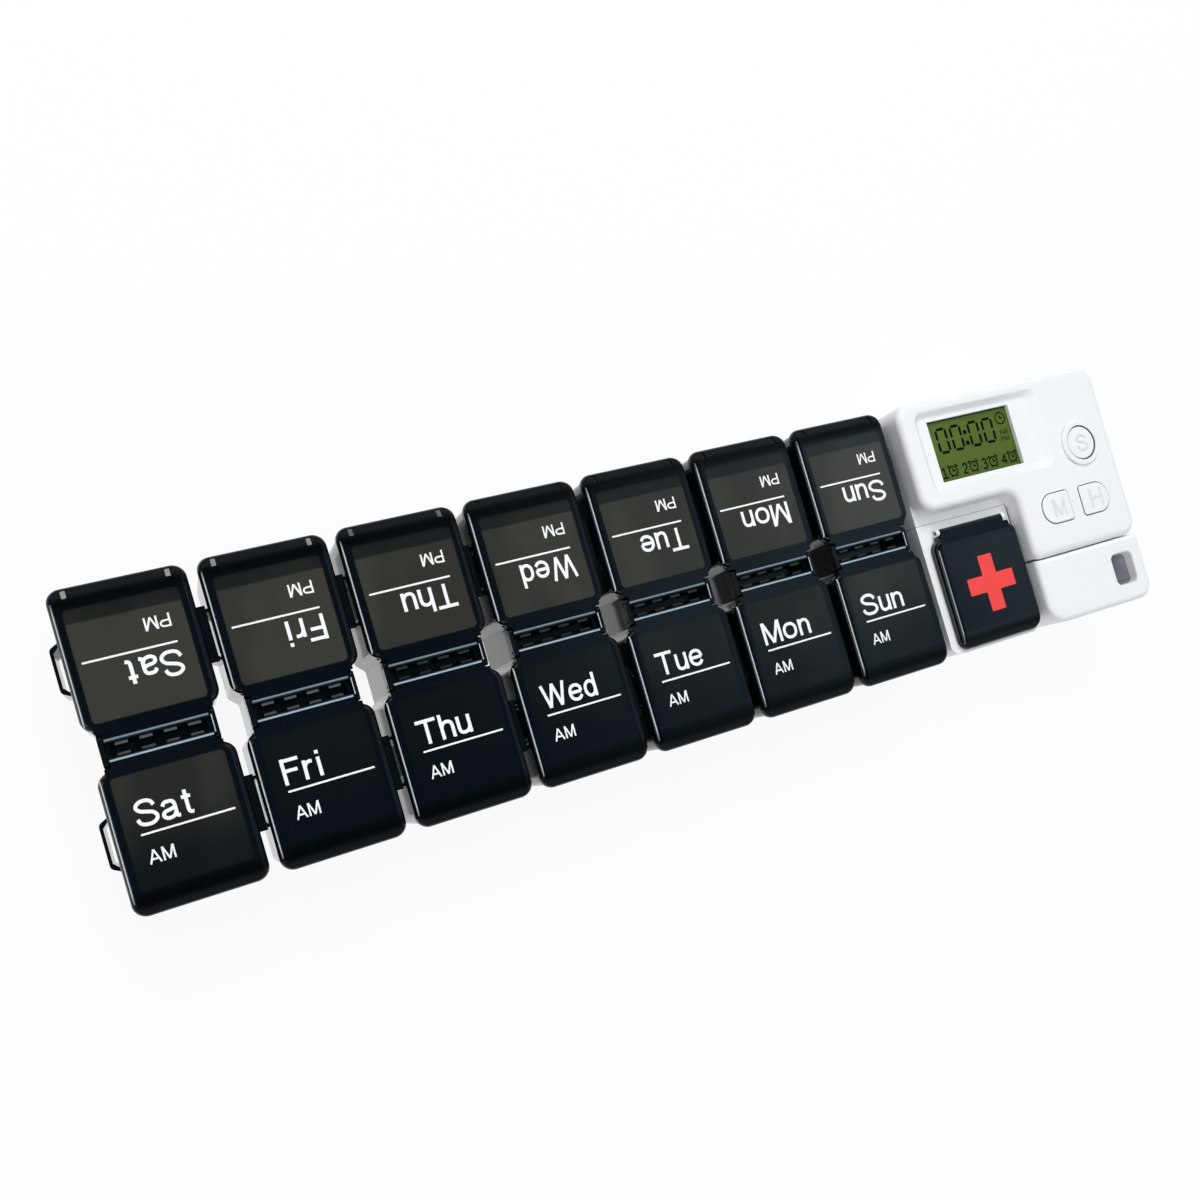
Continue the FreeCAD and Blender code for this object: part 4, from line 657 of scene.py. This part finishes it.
def active(name):
    """Name the active piece and its mesh."""
    piece = bpy.context.object
    piece.name = name
    piece.data.name = name
    return piece


def apply_place():
    """Take the place, turn and scale of the selected piece into its mesh."""
    bpy.ops.object.transform_apply(location=True, rotation=True, scale=True)


def join(pieces, name):
    """Make one object of several."""
    deselect()
    for piece in pieces:
        piece.select_set(True)
    bpy.context.view_layer.objects.active = pieces[0]
    if len(pieces) > 1:
        bpy.ops.object.join()
    return active(name)


def duplicate(piece):
    """A copy with its own mesh."""
    copy = piece.copy()
    copy.data = piece.data.copy()
    bpy.context.scene.collection.objects.link(copy)
    return copy


def remove(piece):
    """Delete a piece that was only the pattern of its copies."""
    bpy.data.objects.remove(piece)


def settle(piece, material, body):
    """Give a finished piece its material and its body."""
    piece.data.materials.clear()
    piece.data.materials.append(material)
    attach(piece, body)


def letter_reach(letter, stroke):
    """How far a letter reaches to the right; level strokes end at their last point."""
    reaches = []
    for shape, *numbers in GLYPHS[letter]:
        level = not shape and numbers[1] == numbers[3]
        reaches.append(max(numbers[::2]) * LETTER_SPREAD + (0.0 if level else stroke / 2))
    return max(reaches)


def word(text, height, width, thickness, stroke=LETTER_STROKE):
    """A word drawn with even strokes, its base line's left end at the origin."""
    deselect()
    bpy.ops.curve.primitive_bezier_curve_add(location=(0.0, 0.0, 0.0))
    curve = bpy.context.object.data
    curve.splines.clear()
    curve.dimensions = "3D"
    curve.bevel_depth = stroke / 2
    curve.bevel_resolution = 2
    curve.resolution_u = 5
    curve.use_fill_caps = True
    start = 0.0
    for letter in text:
        for shape, *numbers in GLYPHS[letter]:
            points = list(zip(numbers[::2], numbers[1::2]))
            spline = curve.splines.new("BEZIER")
            spline.bezier_points.add(len(points) - 1)
            spline.use_cyclic_u = shape == "o"
            for knot, (x, y) in zip(spline.bezier_points, points):
                knot.co = (start + x * LETTER_SPREAD, y, 0.0)
                knot.handle_left_type = knot.handle_right_type = "AUTO" if shape else "VECTOR"
        start += letter_reach(letter, stroke) + LETTER_GAP
    bpy.ops.object.convert(target="MESH")
    piece = active("word_" + text)
    xs = [vertex.co.x for vertex in piece.data.vertices]
    rise = height / 100.0
    stretch = width / (max(xs) - min(xs)) if width else rise
    piece.location = (-min(xs) * stretch, 0.0, thickness / 2)
    piece.scale = (stretch, rise, thickness / stroke)
    apply_place()
    bpy.ops.object.shade_smooth_by_angle(angle=math.radians(50))
    return piece


def select_faces(piece, test):
    """Go to edit mode with the faces selected that pass a test."""
    bpy.ops.object.mode_set(mode="EDIT")
    bpy.ops.mesh.select_mode(type="FACE")
    bpy.ops.mesh.select_all(action="DESELECT")
    bpy.ops.object.mode_set(mode="OBJECT")
    for face in piece.data.polygons:
        face.select = test(face)
    bpy.ops.object.mode_set(mode="EDIT")


def draw_out(axis, distance):
    """Extrude the selected faces along an axis."""
    push = [0.0, 0.0, 0.0]
    push[axis] = distance
    bpy.ops.mesh.extrude_region_move()
    bpy.ops.transform.translate(value=push)


def taper_ends(piece, lengthwise, reach, tip):
    """Draw out both ends of a bar to tips that have a share of its width."""
    shrink = [1.0, 1.0, 1.0]
    shrink[1 - lengthwise] = tip
    for sign in (-1, 1):
        select_faces(piece, lambda face: face.normal[lengthwise] * sign > FACING)
        draw_out(lengthwise, sign * reach)
        bpy.ops.transform.resize(value=shrink)
        bpy.ops.object.mode_set(mode="OBJECT")


def round_uprights(piece, radius):
    """Bevel the upright edges of a flat piece."""
    bpy.ops.object.mode_set(mode="EDIT")
    bpy.ops.mesh.select_mode(type="EDGE")
    bpy.ops.mesh.select_all(action="DESELECT")
    bpy.ops.object.mode_set(mode="OBJECT")
    for edge in piece.data.edges:
        first, second = (piece.data.vertices[index].co for index in edge.vertices)
        edge.select = (first - second).xy.length < NO_DISTANCE
    bpy.ops.object.mode_set(mode="EDIT")
    bpy.ops.mesh.bevel(offset=radius, segments=4, affect="EDGES")
    bpy.ops.object.mode_set(mode="OBJECT")


def bar(name, left, right, low, high, thickness, tip=1.0, rounding=0.0):
    """A thin flat bar that lies along its longer side, with tapered or rounded ends."""
    deselect()
    width, length = right - left, high - low
    middle = ((left + right) / 2, (low + high) / 2, thickness / 2)
    bpy.ops.mesh.primitive_cube_add(size=1.0, location=middle)
    piece = active(name)
    piece.scale = (width, length, thickness)
    apply_place()
    if tip < 1.0:
        lengthwise = 0 if width > length else 1
        taper_ends(piece, lengthwise, min(width, length) * (1.0 - tip) / 2, tip)
    if rounding:
        round_uprights(piece, rounding)
    return piece


def ring(name, x, y, radius, width, thickness):
    """A thin flat ring."""
    deselect()
    bpy.ops.mesh.primitive_torus_add(location=(x, y, thickness / 2), major_segments=40, minor_segments=6,
                                     major_radius=radius, minor_radius=width / 2)
    piece = active(name)
    piece.scale = (1.0, 1.0, thickness / width)
    apply_place()
    return piece


def move(piece, x, y, z, turn=0.0):
    """Turn a piece about the upright axis, move it and keep its place in its mesh."""
    deselect()
    piece.select_set(True)
    bpy.context.view_layer.objects.active = piece
    piece.rotation_euler = (0.0, 0.0, turn)
    piece.location = (x, y, z)
    apply_place()
    return piece


class ORGANIZER_OT_finish_pods(bpy.types.Operator):
    """Polished black finish on the day boxes, hinge bridges and lids"""

    bl_idname = "organizer.finish_pods"
    bl_label = "Finish pods"

    def execute(self, context):
        colours = context.scene.organizer_colours
        box = gloss_black("pod_plastic", colours.pod, 0.10)
        lid = smoked_lid("lid_plastic", colours.pod, colours.panel, FIRST_POD, DAY_SHARES, DAY_GLEAMS)
        bridge = highlit_black("bridge_plastic", colours.pod, FIRST_POD)
        finishes = {"day_box": box, "hinge_bridge": bridge, "lid_am": lid, "lid_pm": lid}
        for day in DAYS:
            for kind, material in finishes.items():
                paint(f"{kind}_{day}", material)
        first_aid = smoked_lid("first_aid_plastic", colours.pod, colours.panel,
                               middle_x("first_aid_lid") / MM, FIRST_AID_SHARES, FIRST_AID_GLEAMS)
        paint("first_aid_lid", first_aid)
        return {"FINISHED"}


class ORGANIZER_OT_print_labels(bpy.types.Operator):
    """Printed day names, ruled lines and AM or PM on the lids"""

    bl_idname = "organizer.print_labels"
    bl_label = "Print labels"

    def execute(self, context):
        sizes = context.scene.organizer_prints
        ink = ink_film("white_ink", context.scene.organizer_colours.ink)
        for day in DAYS:
            for half in ("am", "pm"):
                lid = f"lid_{half}_{day}"
                label = join(self.lines(sizes, day, half), f"label_{half}_{day}")
                turn = 0.0 if half == "am" else math.pi
                move(label, middle_x(lid), 0.0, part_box(lid)[1].z, turn)
                settle(label, ink, f"{half}_cover_{day}")
        return {"FINISHED"}

    def lines(self, sizes, day, half):
        """The day's name, AM or PM and the ruled line, as they lie on a morning lid."""
        name = word(day.capitalize(), sizes.name_height, NAME_WIDTHS[day] * MM, sizes.ink)
        time = word(half.upper(), sizes.half_height, sizes.half_width, sizes.ink)
        edges = (-sizes.rule_near - sizes.rule_width / 2, -sizes.rule_near + sizes.rule_width / 2)
        rule = bar("rule", sizes.rule_left, sizes.rule_right, *edges, sizes.ink,
                   rounding=sizes.rule_width / 3)
        move(name, sizes.name_left, -sizes.name_base, 0.0)
        move(time, sizes.half_left, -sizes.half_base, 0.0)
        return [name, time, rule]


class ORGANIZER_OT_print_plus(bpy.types.Operator):
    """Printed plus sign on the first aid lid"""

    bl_idname = "organizer.print_plus"
    bl_label = "Print plus sign"

    def execute(self, context):
        sizes = context.scene.organizer_prints
        aside, along = (part * MM for part in PLUS_PLACE)
        plus = self.cross(sizes.plus_arm, (sizes.plus_span - sizes.plus_arm) / 2, sizes.ink)
        round_uprights(plus, PLUS_ROUND * MM)
        move(plus, middle_x("first_aid_lid") + aside, along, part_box("first_aid_lid")[1].z)
        red = ink_film("red_ink", context.scene.organizer_colours.plus)
        settle(plus, red, "first_aid_cover")
        return {"FINISHED"}

    def cross(self, width, reach, thickness):
        """A square with an arm drawn out of each side."""
        deselect()
        bpy.ops.mesh.primitive_cube_add(size=1.0, location=(0.0, 0.0, thickness / 2))
        plus = active("plus_sign")
        plus.scale = (width, width, thickness)
        apply_place()
        for axis in (0, 1):
            for sign in (-1, 1):
                select_faces(plus, lambda face: face.normal[axis] * sign > FACING
                             and abs(face.center[1 - axis]) < NO_DISTANCE)
                draw_out(axis, sign * reach)
                bpy.ops.object.mode_set(mode="OBJECT")
        return plus


class ORGANIZER_OT_catch_marks(bpy.types.Operator):
    """Pale pads in the two catch marks at the rear edge of the first lids; their tone is painted, standing
    for the shaded floor seen there
    """

    bl_idname = "organizer.catch_marks"
    bl_label = "Catch marks"

    def execute(self, context):
        colour = context.scene.organizer_colours.mark
        half_width, half_length = (half * MM for half in MARK_HALF)
        aside, along = (part * MM for part in MARK_PLACE)
        for day, share in MARKED_LIDS.items():
            lid = f"lid_pm_{day}"
            pads = []
            for side in (-1, 1):
                pad = bar("pad", -half_width, half_width, -half_length, half_length,
                          MARK_THICKNESS * MM, rounding=MARK_ROUND * MM)
                pads.append(move(pad, middle_x(lid) + side * aside, along, 0.0))
            marks = join(pads, f"catch_marks_{day}")
            self.lay(marks, lid)
            # Painted shade: the pads' tone stands for the shaded floor seen past the lid, fading from lid to
            # lid.
            pale = ink_film(f"mark_{day}", shaded(colour, share))
            settle(marks, pale, f"pm_cover_{day}")
        return {"FINISHED"}

    def lay(self, marks, node):
        """Lower each corner onto the lid below it."""
        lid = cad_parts[node]
        above = CAD_BOX[1][2] + MM
        for vertex in marks.data.vertices:
            hit, place, _, _ = lid.ray_cast((vertex.co.x, vertex.co.y, above), (0.0, 0.0, -1.0))
            if hit:
                vertex.co.z += place.z


class ORGANIZER_OT_finish_timer(bpy.types.Operator):
    """White satin finish on the timer, its boxes and its buttons, and finishes for what is inside"""

    bl_idname = "organizer.finish_timer"
    bl_label = "Finish timer"

    def execute(self, context):
        colours = context.scene.organizer_colours
        shell = satin_white("timer_plastic", colours.timer)
        key = satin_white("button_plastic", shaded(colours.timer, 1.01))
        for node in WHITE_NODES:
            paint(node, shell)
        for button in BUTTONS:
            paint(f"button_{button}", key)
        paint("lcd_panel", display_green("display_glass", colours.display))
        inner = {"board": laminate_green("board_laminate", colours.board),
                 "rubber": soft_rubber("keypad_rubber", colours.rubber),
                 "buzzer": gloss_black("buzzer_can", colours.buzzer, 0.35),
                 "cell": cell_can("cell_sleeve", colours.sleeve),
                 "steel": bare_steel("plated_steel", colours.steel)}
        for node, kind in INNER_NODES.items():
            paint(node, inner[kind])
        return {"FINISHED"}


class ORGANIZER_OT_display_signs(bpy.types.Operator):
    """Segments of the display: clock digits, clock sign, alarm row and the unlit AM and PM"""

    bl_idname = "organizer.display_signs"
    bl_label = "Display signs"

    def execute(self, context):
        sizes = context.scene.organizer_timer
        colours = context.scene.organizer_colours
        film = context.scene.organizer_prints.ink
        dark = self.digits(sizes, film)
        dark += self.clock(*(part * MM for part in (*CLOCK_PLACE, CLOCK_RADIUS, CLOCK_LINE)), film)
        self.lay(dark, "display_signs", "display_dark", colours.segment)
        self.lay(self.alarm_row(sizes, film), "display_alarms", "display_green_black", colours.alarm)
        unlit = []
        for text, (left, base, width) in UNLIT_SIGNS.items():
            sign = word(text, UNLIT_HEIGHT * MM, width * MM, film, UNLIT_STROKE)
            unlit.append(move(sign, left * MM, base * MM, 0.0))
        self.lay(unlit, "display_unlit", "display_faint", colours.faint)
        return {"FINISHED"}

    def lay(self, signs, name, finish, colour):
        """Join signs into one film on the display."""
        film = move(join(signs, name), 0.0, 0.0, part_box("lcd_panel")[1].z)
        settle(film, ink_film(finish, colour, DISPLAY_SHEEN), "module")

    def digits(self, sizes, film):
        """Four clock digits that all show 0, and the colon."""
        width, height, stroke = sizes.digit_width, sizes.digit_height, sizes.stroke
        base = sizes.digit_top - height
        gap = stroke * SEGMENT_GAP
        across = bar("across", gap, width - gap, -stroke / 2, stroke / 2, film, tip=SEGMENT_TIP)
        upright = bar("upright", -stroke / 2, stroke / 2, gap, height / 2 - gap, film, tip=SEGMENT_TIP)
        pieces = []
        for left in DIGIT_LEFTS:
            for y in (base, base + height):
                pieces.append(move(duplicate(across), left * MM, y, 0.0))
            for x in (0.0, width):
                for y in (base, base + height / 2):
                    pieces.append(move(duplicate(upright), left * MM + x, y, 0.0))
        half = stroke * COLON_DOT
        for level in COLON_LEVELS:
            y = base + height * level
            pieces.append(bar("dot", COLON * MM - half, COLON * MM + half, y - half, y + half, film,
                              rounding=half * 0.6))
        remove(across)
        remove(upright)
        return pieces

    def alarm_row(self, sizes, film):
        """Four alarm numbers, each with its alarm clock."""
        middle = sizes.sign_base + sizes.sign_height / 2 + ALARM_LIFT * MM
        pieces = []
        for number, left, clock in zip("1234", NUMBER_LEFTS, ALARM_MIDDLES):
            figure = word(number, sizes.sign_height, NUMBER_WIDTH * MM, film, NUMBER_STROKE)
            pieces.append(move(figure, left * MM, sizes.sign_base, 0.0))
            pieces += self.alarm(clock * MM, middle, film)
        return pieces

    def clock(self, x, y, radius, line, film):
        """A round clock face with two hands."""
        half = line / 2
        return [ring("face", x, y, radius, line, film),
                bar("minute_hand", x - half, x + half, y - half, y + radius * HANDS[0], film),
                bar("hour_hand", x - half, x + radius * HANDS[1], y - half, y + half, film)]

    def alarm(self, x, y, film):
        """An alarm clock with a ring, two hands, two bells and two feet."""
        pieces = self.clock(x, y, ALARM_RADIUS * MM, ALARM_LINE * MM, film)
        for side in (-1, 1):
            for name, half, thick, out, up, lean in ALARM_LIMBS:
                limb = bar(name, -half * MM, half * MM, -thick / 2 * MM, thick / 2 * MM, film,
                           rounding=LIMB_ROUND * MM)
                pieces.append(move(limb, x + side * out * MM, y + up * MM, 0.0, -side * math.radians(lean)))
        return pieces


class ORGANIZER_OT_display_rim(bpy.types.Operator):
    """Black seal that shows along the rear edge of the display"""

    bl_idname = "organizer.display_rim"
    bl_label = "Display rim"

    def execute(self, context):
        low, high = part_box("lcd_panel")
        inset = SEAL_INSET * MM
        rear = high.y - inset
        seal = bar("display_rim", low.x + inset, high.x - inset, rear - SEAL_WIDTH * MM, rear,
                   SEAL_THICKNESS * MM)
        move(seal, 0.0, 0.0, high.z)
        rubber = soft_rubber("seal_rubber", context.scene.organizer_colours.seal)
        settle(seal, rubber, "module")
        return {"FINISHED"}


class ORGANIZER_OT_button_letters(bpy.types.Operator):
    """Raised letters on the three buttons"""

    bl_idname = "organizer.button_letters"
    bl_label = "Button letters"

    def execute(self, context):
        sizes = context.scene.organizer_timer
        # Painted shade: the letters are a darker copy of the timer's white, so that their relief shows as
        # shaded.
        material = satin_white("letter_shaded_plastic", shaded(context.scene.organizer_colours.timer, 0.87))
        for button, (letter, width, aside) in BUTTON_LETTERS.items():
            low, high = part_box(f"button_{button}")
            piece = word(letter, sizes.letter_height, width * MM, sizes.letter_rise * 2, BUTTON_STROKE)
            move(piece, (low.x + high.x - width * MM) / 2 + aside * MM,
                 (low.y + high.y - sizes.letter_height) / 2, high.z - sizes.letter_rise)
            piece = active(f"letter_{button}")
            settle(piece, material, f"{button}_key")
        return {"FINISHED"}


class ORGANIZER_OT_stage(bpy.types.Operator):
    """Pale floor, soft studio light and the camera"""

    bl_idname = "organizer.stage"
    bl_label = "Stage"

    def execute(self, context):
        settings = context.scene.organizer_stage
        self.floor(settings.floor)
        self.world(context.scene)
        self.lamps()
        self.camera(context.scene, settings)
        context.scene.view_settings.view_transform = "Standard"
        return {"FINISHED"}

    def floor(self, side):
        """A floor that the camera and reflections see as white, with the shadow near the object."""
        deselect()
        bpy.ops.mesh.primitive_plane_add(size=side, location=(0.0, 0.0, 0.0))
        floor = active("floor")
        material, sheet, place = new_finish("floor_white")
        rays = sheet.node("ShaderNodeLightPath", {}, {}).link.node.outputs
        seen = 0.0
        for ray in ("Is Camera Ray", "Is Glossy Ray", "Is Transmission Ray"):
            seen = sheet.math("MAXIMUM", Socket(sheet, rays[ray]), seen)
        matt = sheet.node("ShaderNodeBsdfDiffuse", {}, {"Color": (*FLOOR_GREY, 1.0)})
        glow = sheet.node("ShaderNodeEmission", {}, {"Color": (*WHITE, 1.0), "Strength": 1.0})
        x, y, _ = sheet.parts(place)
        away = sheet.ramp(sheet.math("SQRT", x * x + y * y, 0.0), *SHADOW_FADE)
        plain = seen * (1.0 - SHADOW_SHARE + SHADOW_SHARE * away)
        both = sheet.node("ShaderNodeMixShader", {}, {0: plain, 1: matt, 2: glow})
        sheet.node("ShaderNodeOutputMaterial", {}, {"Surface": both})
        floor.data.materials.append(material)

    def world(self, scene):
        """A dim room, with a pale uneven sky towards the right that the right-hand lids mirror."""
        scene.world = bpy.data.worlds.new("studio")
        scene.world.use_nodes = True
        sheet = NodeSheet(scene.world.node_tree)
        place = sheet.node("ShaderNodeTexCoord", {}, {}, "Generated")
        x, _, up = sheet.parts(place)
        dusk = sheet.mix(sheet.ramp(up, 0.15, 0.85), ROOM_LOW, ROOM_HIGH)
        lean = x / sheet.math("MAXIMUM", up, 0.05)
        window = sheet.ramp(lean, 0.25, 0.75) * sheet.ramp(up, 0.55, 0.75)
        stretched = sheet.node("ShaderNodeMapping", {}, {"Vector": place, "Scale": (1.0, 0.4, 1.0)})
        pane = sheet.ramp(sheet.noise(stretched, 9.0, 1.0), 0.35, 0.7)
        light = sheet.mix(window * (0.55 + 0.75 * pane), dusk, WINDOW_SKY)
        rays = sheet.node("ShaderNodeLightPath", {}, {}).link.node.outputs
        seen = sheet.mix(Socket(sheet, rays["Is Camera Ray"]), light, WHITE)
        background = sheet.node("ShaderNodeBackground", {}, {"Color": seen, "Strength": 1.0})
        sheet.node("ShaderNodeOutputWorld", {}, {"Surface": background})

    def lamps(self):
        """Broad lamps without a mirror image, and cards that only polished faces mirror."""
        for name, place, aim, size, energy, mirrored in LAMPS:
            deselect()
            bpy.ops.object.light_add(type="AREA", location=place)
            lamp = bpy.context.object
            lamp.name = name
            lamp.data.shape = "RECTANGLE"
            lamp.data.size, lamp.data.size_y = size
            lamp.data.energy = energy
            lamp.rotation_euler = (Vector(aim) - Vector(place)).to_track_quat("-Z", "Y").to_euler()
            lamp.data.color = CARD_TINT if mirrored else WHITE
            lamp.visible_diffuse = not mirrored
            lamp.visible_glossy = mirrored

    def camera(self, scene, settings):
        """The camera stands above the first pod, turned so that the row rises to the right."""
        data = bpy.data.cameras.new("camera")
        data.lens = settings.lens
        data.shift_x = settings.shift_x
        data.shift_y = settings.shift_y
        data.clip_start = CLIP_START
        camera = bpy.data.objects.new("camera", data)
        scene.collection.objects.link(camera)
        axes = (Vector(CAMERA_RIGHT), -Vector(CAMERA_DOWN), -Vector(CAMERA_AHEAD))
        turn = Matrix(axes).transposed().to_4x4()
        camera.matrix_world = Matrix.Translation(settings.camera) @ turn
        scene.camera = camera


class ORGANIZER_PT_panel(bpy.types.Panel):
    """Lists the steps that finish the organizer"""

    bl_idname = "ORGANIZER_PT_panel"
    bl_label = "Pill organizer"
    bl_space_type = "VIEW_3D"
    bl_region_type = "UI"
    bl_category = "Organizer"

    def draw(self, context):
        for operator in OPERATORS:
            self.layout.operator(operator.bl_idname)


OPERATORS = (ORGANIZER_OT_finish_pods, ORGANIZER_OT_print_labels, ORGANIZER_OT_print_plus,
             ORGANIZER_OT_catch_marks, ORGANIZER_OT_finish_timer, ORGANIZER_OT_display_signs,
             ORGANIZER_OT_display_rim, ORGANIZER_OT_button_letters, ORGANIZER_OT_stage)
GROUPS = {"organizer_prints": PrintSizes, "organizer_timer": TimerSizes,
          "organizer_colours": FinishColours, "organizer_stage": StageSizes}


def register():
    for group in GROUPS.values():
        bpy.utils.register_class(group)
    for name, group in GROUPS.items():
        setattr(bpy.types.Scene, name, PointerProperty(type=group))
    for operator in OPERATORS:
        bpy.utils.register_class(operator)
    bpy.utils.register_class(ORGANIZER_PT_panel)


def unregister():
    bpy.utils.unregister_class(ORGANIZER_PT_panel)
    for operator in reversed(OPERATORS):
        bpy.utils.unregister_class(operator)
    for name in GROUPS:
        delattr(bpy.types.Scene, name)
    for group in reversed(list(GROUPS.values())):
        bpy.utils.unregister_class(group)


def main():
    register()
    bpy.ops.organizer.finish_pods()
    bpy.ops.organizer.print_labels()
    bpy.ops.organizer.print_plus()
    bpy.ops.organizer.catch_marks()
    bpy.ops.organizer.finish_timer()
    bpy.ops.organizer.display_signs()
    bpy.ops.organizer.display_rim()
    bpy.ops.organizer.button_letters()
    bpy.ops.organizer.stage()


if __name__ == "__main__":
    main()
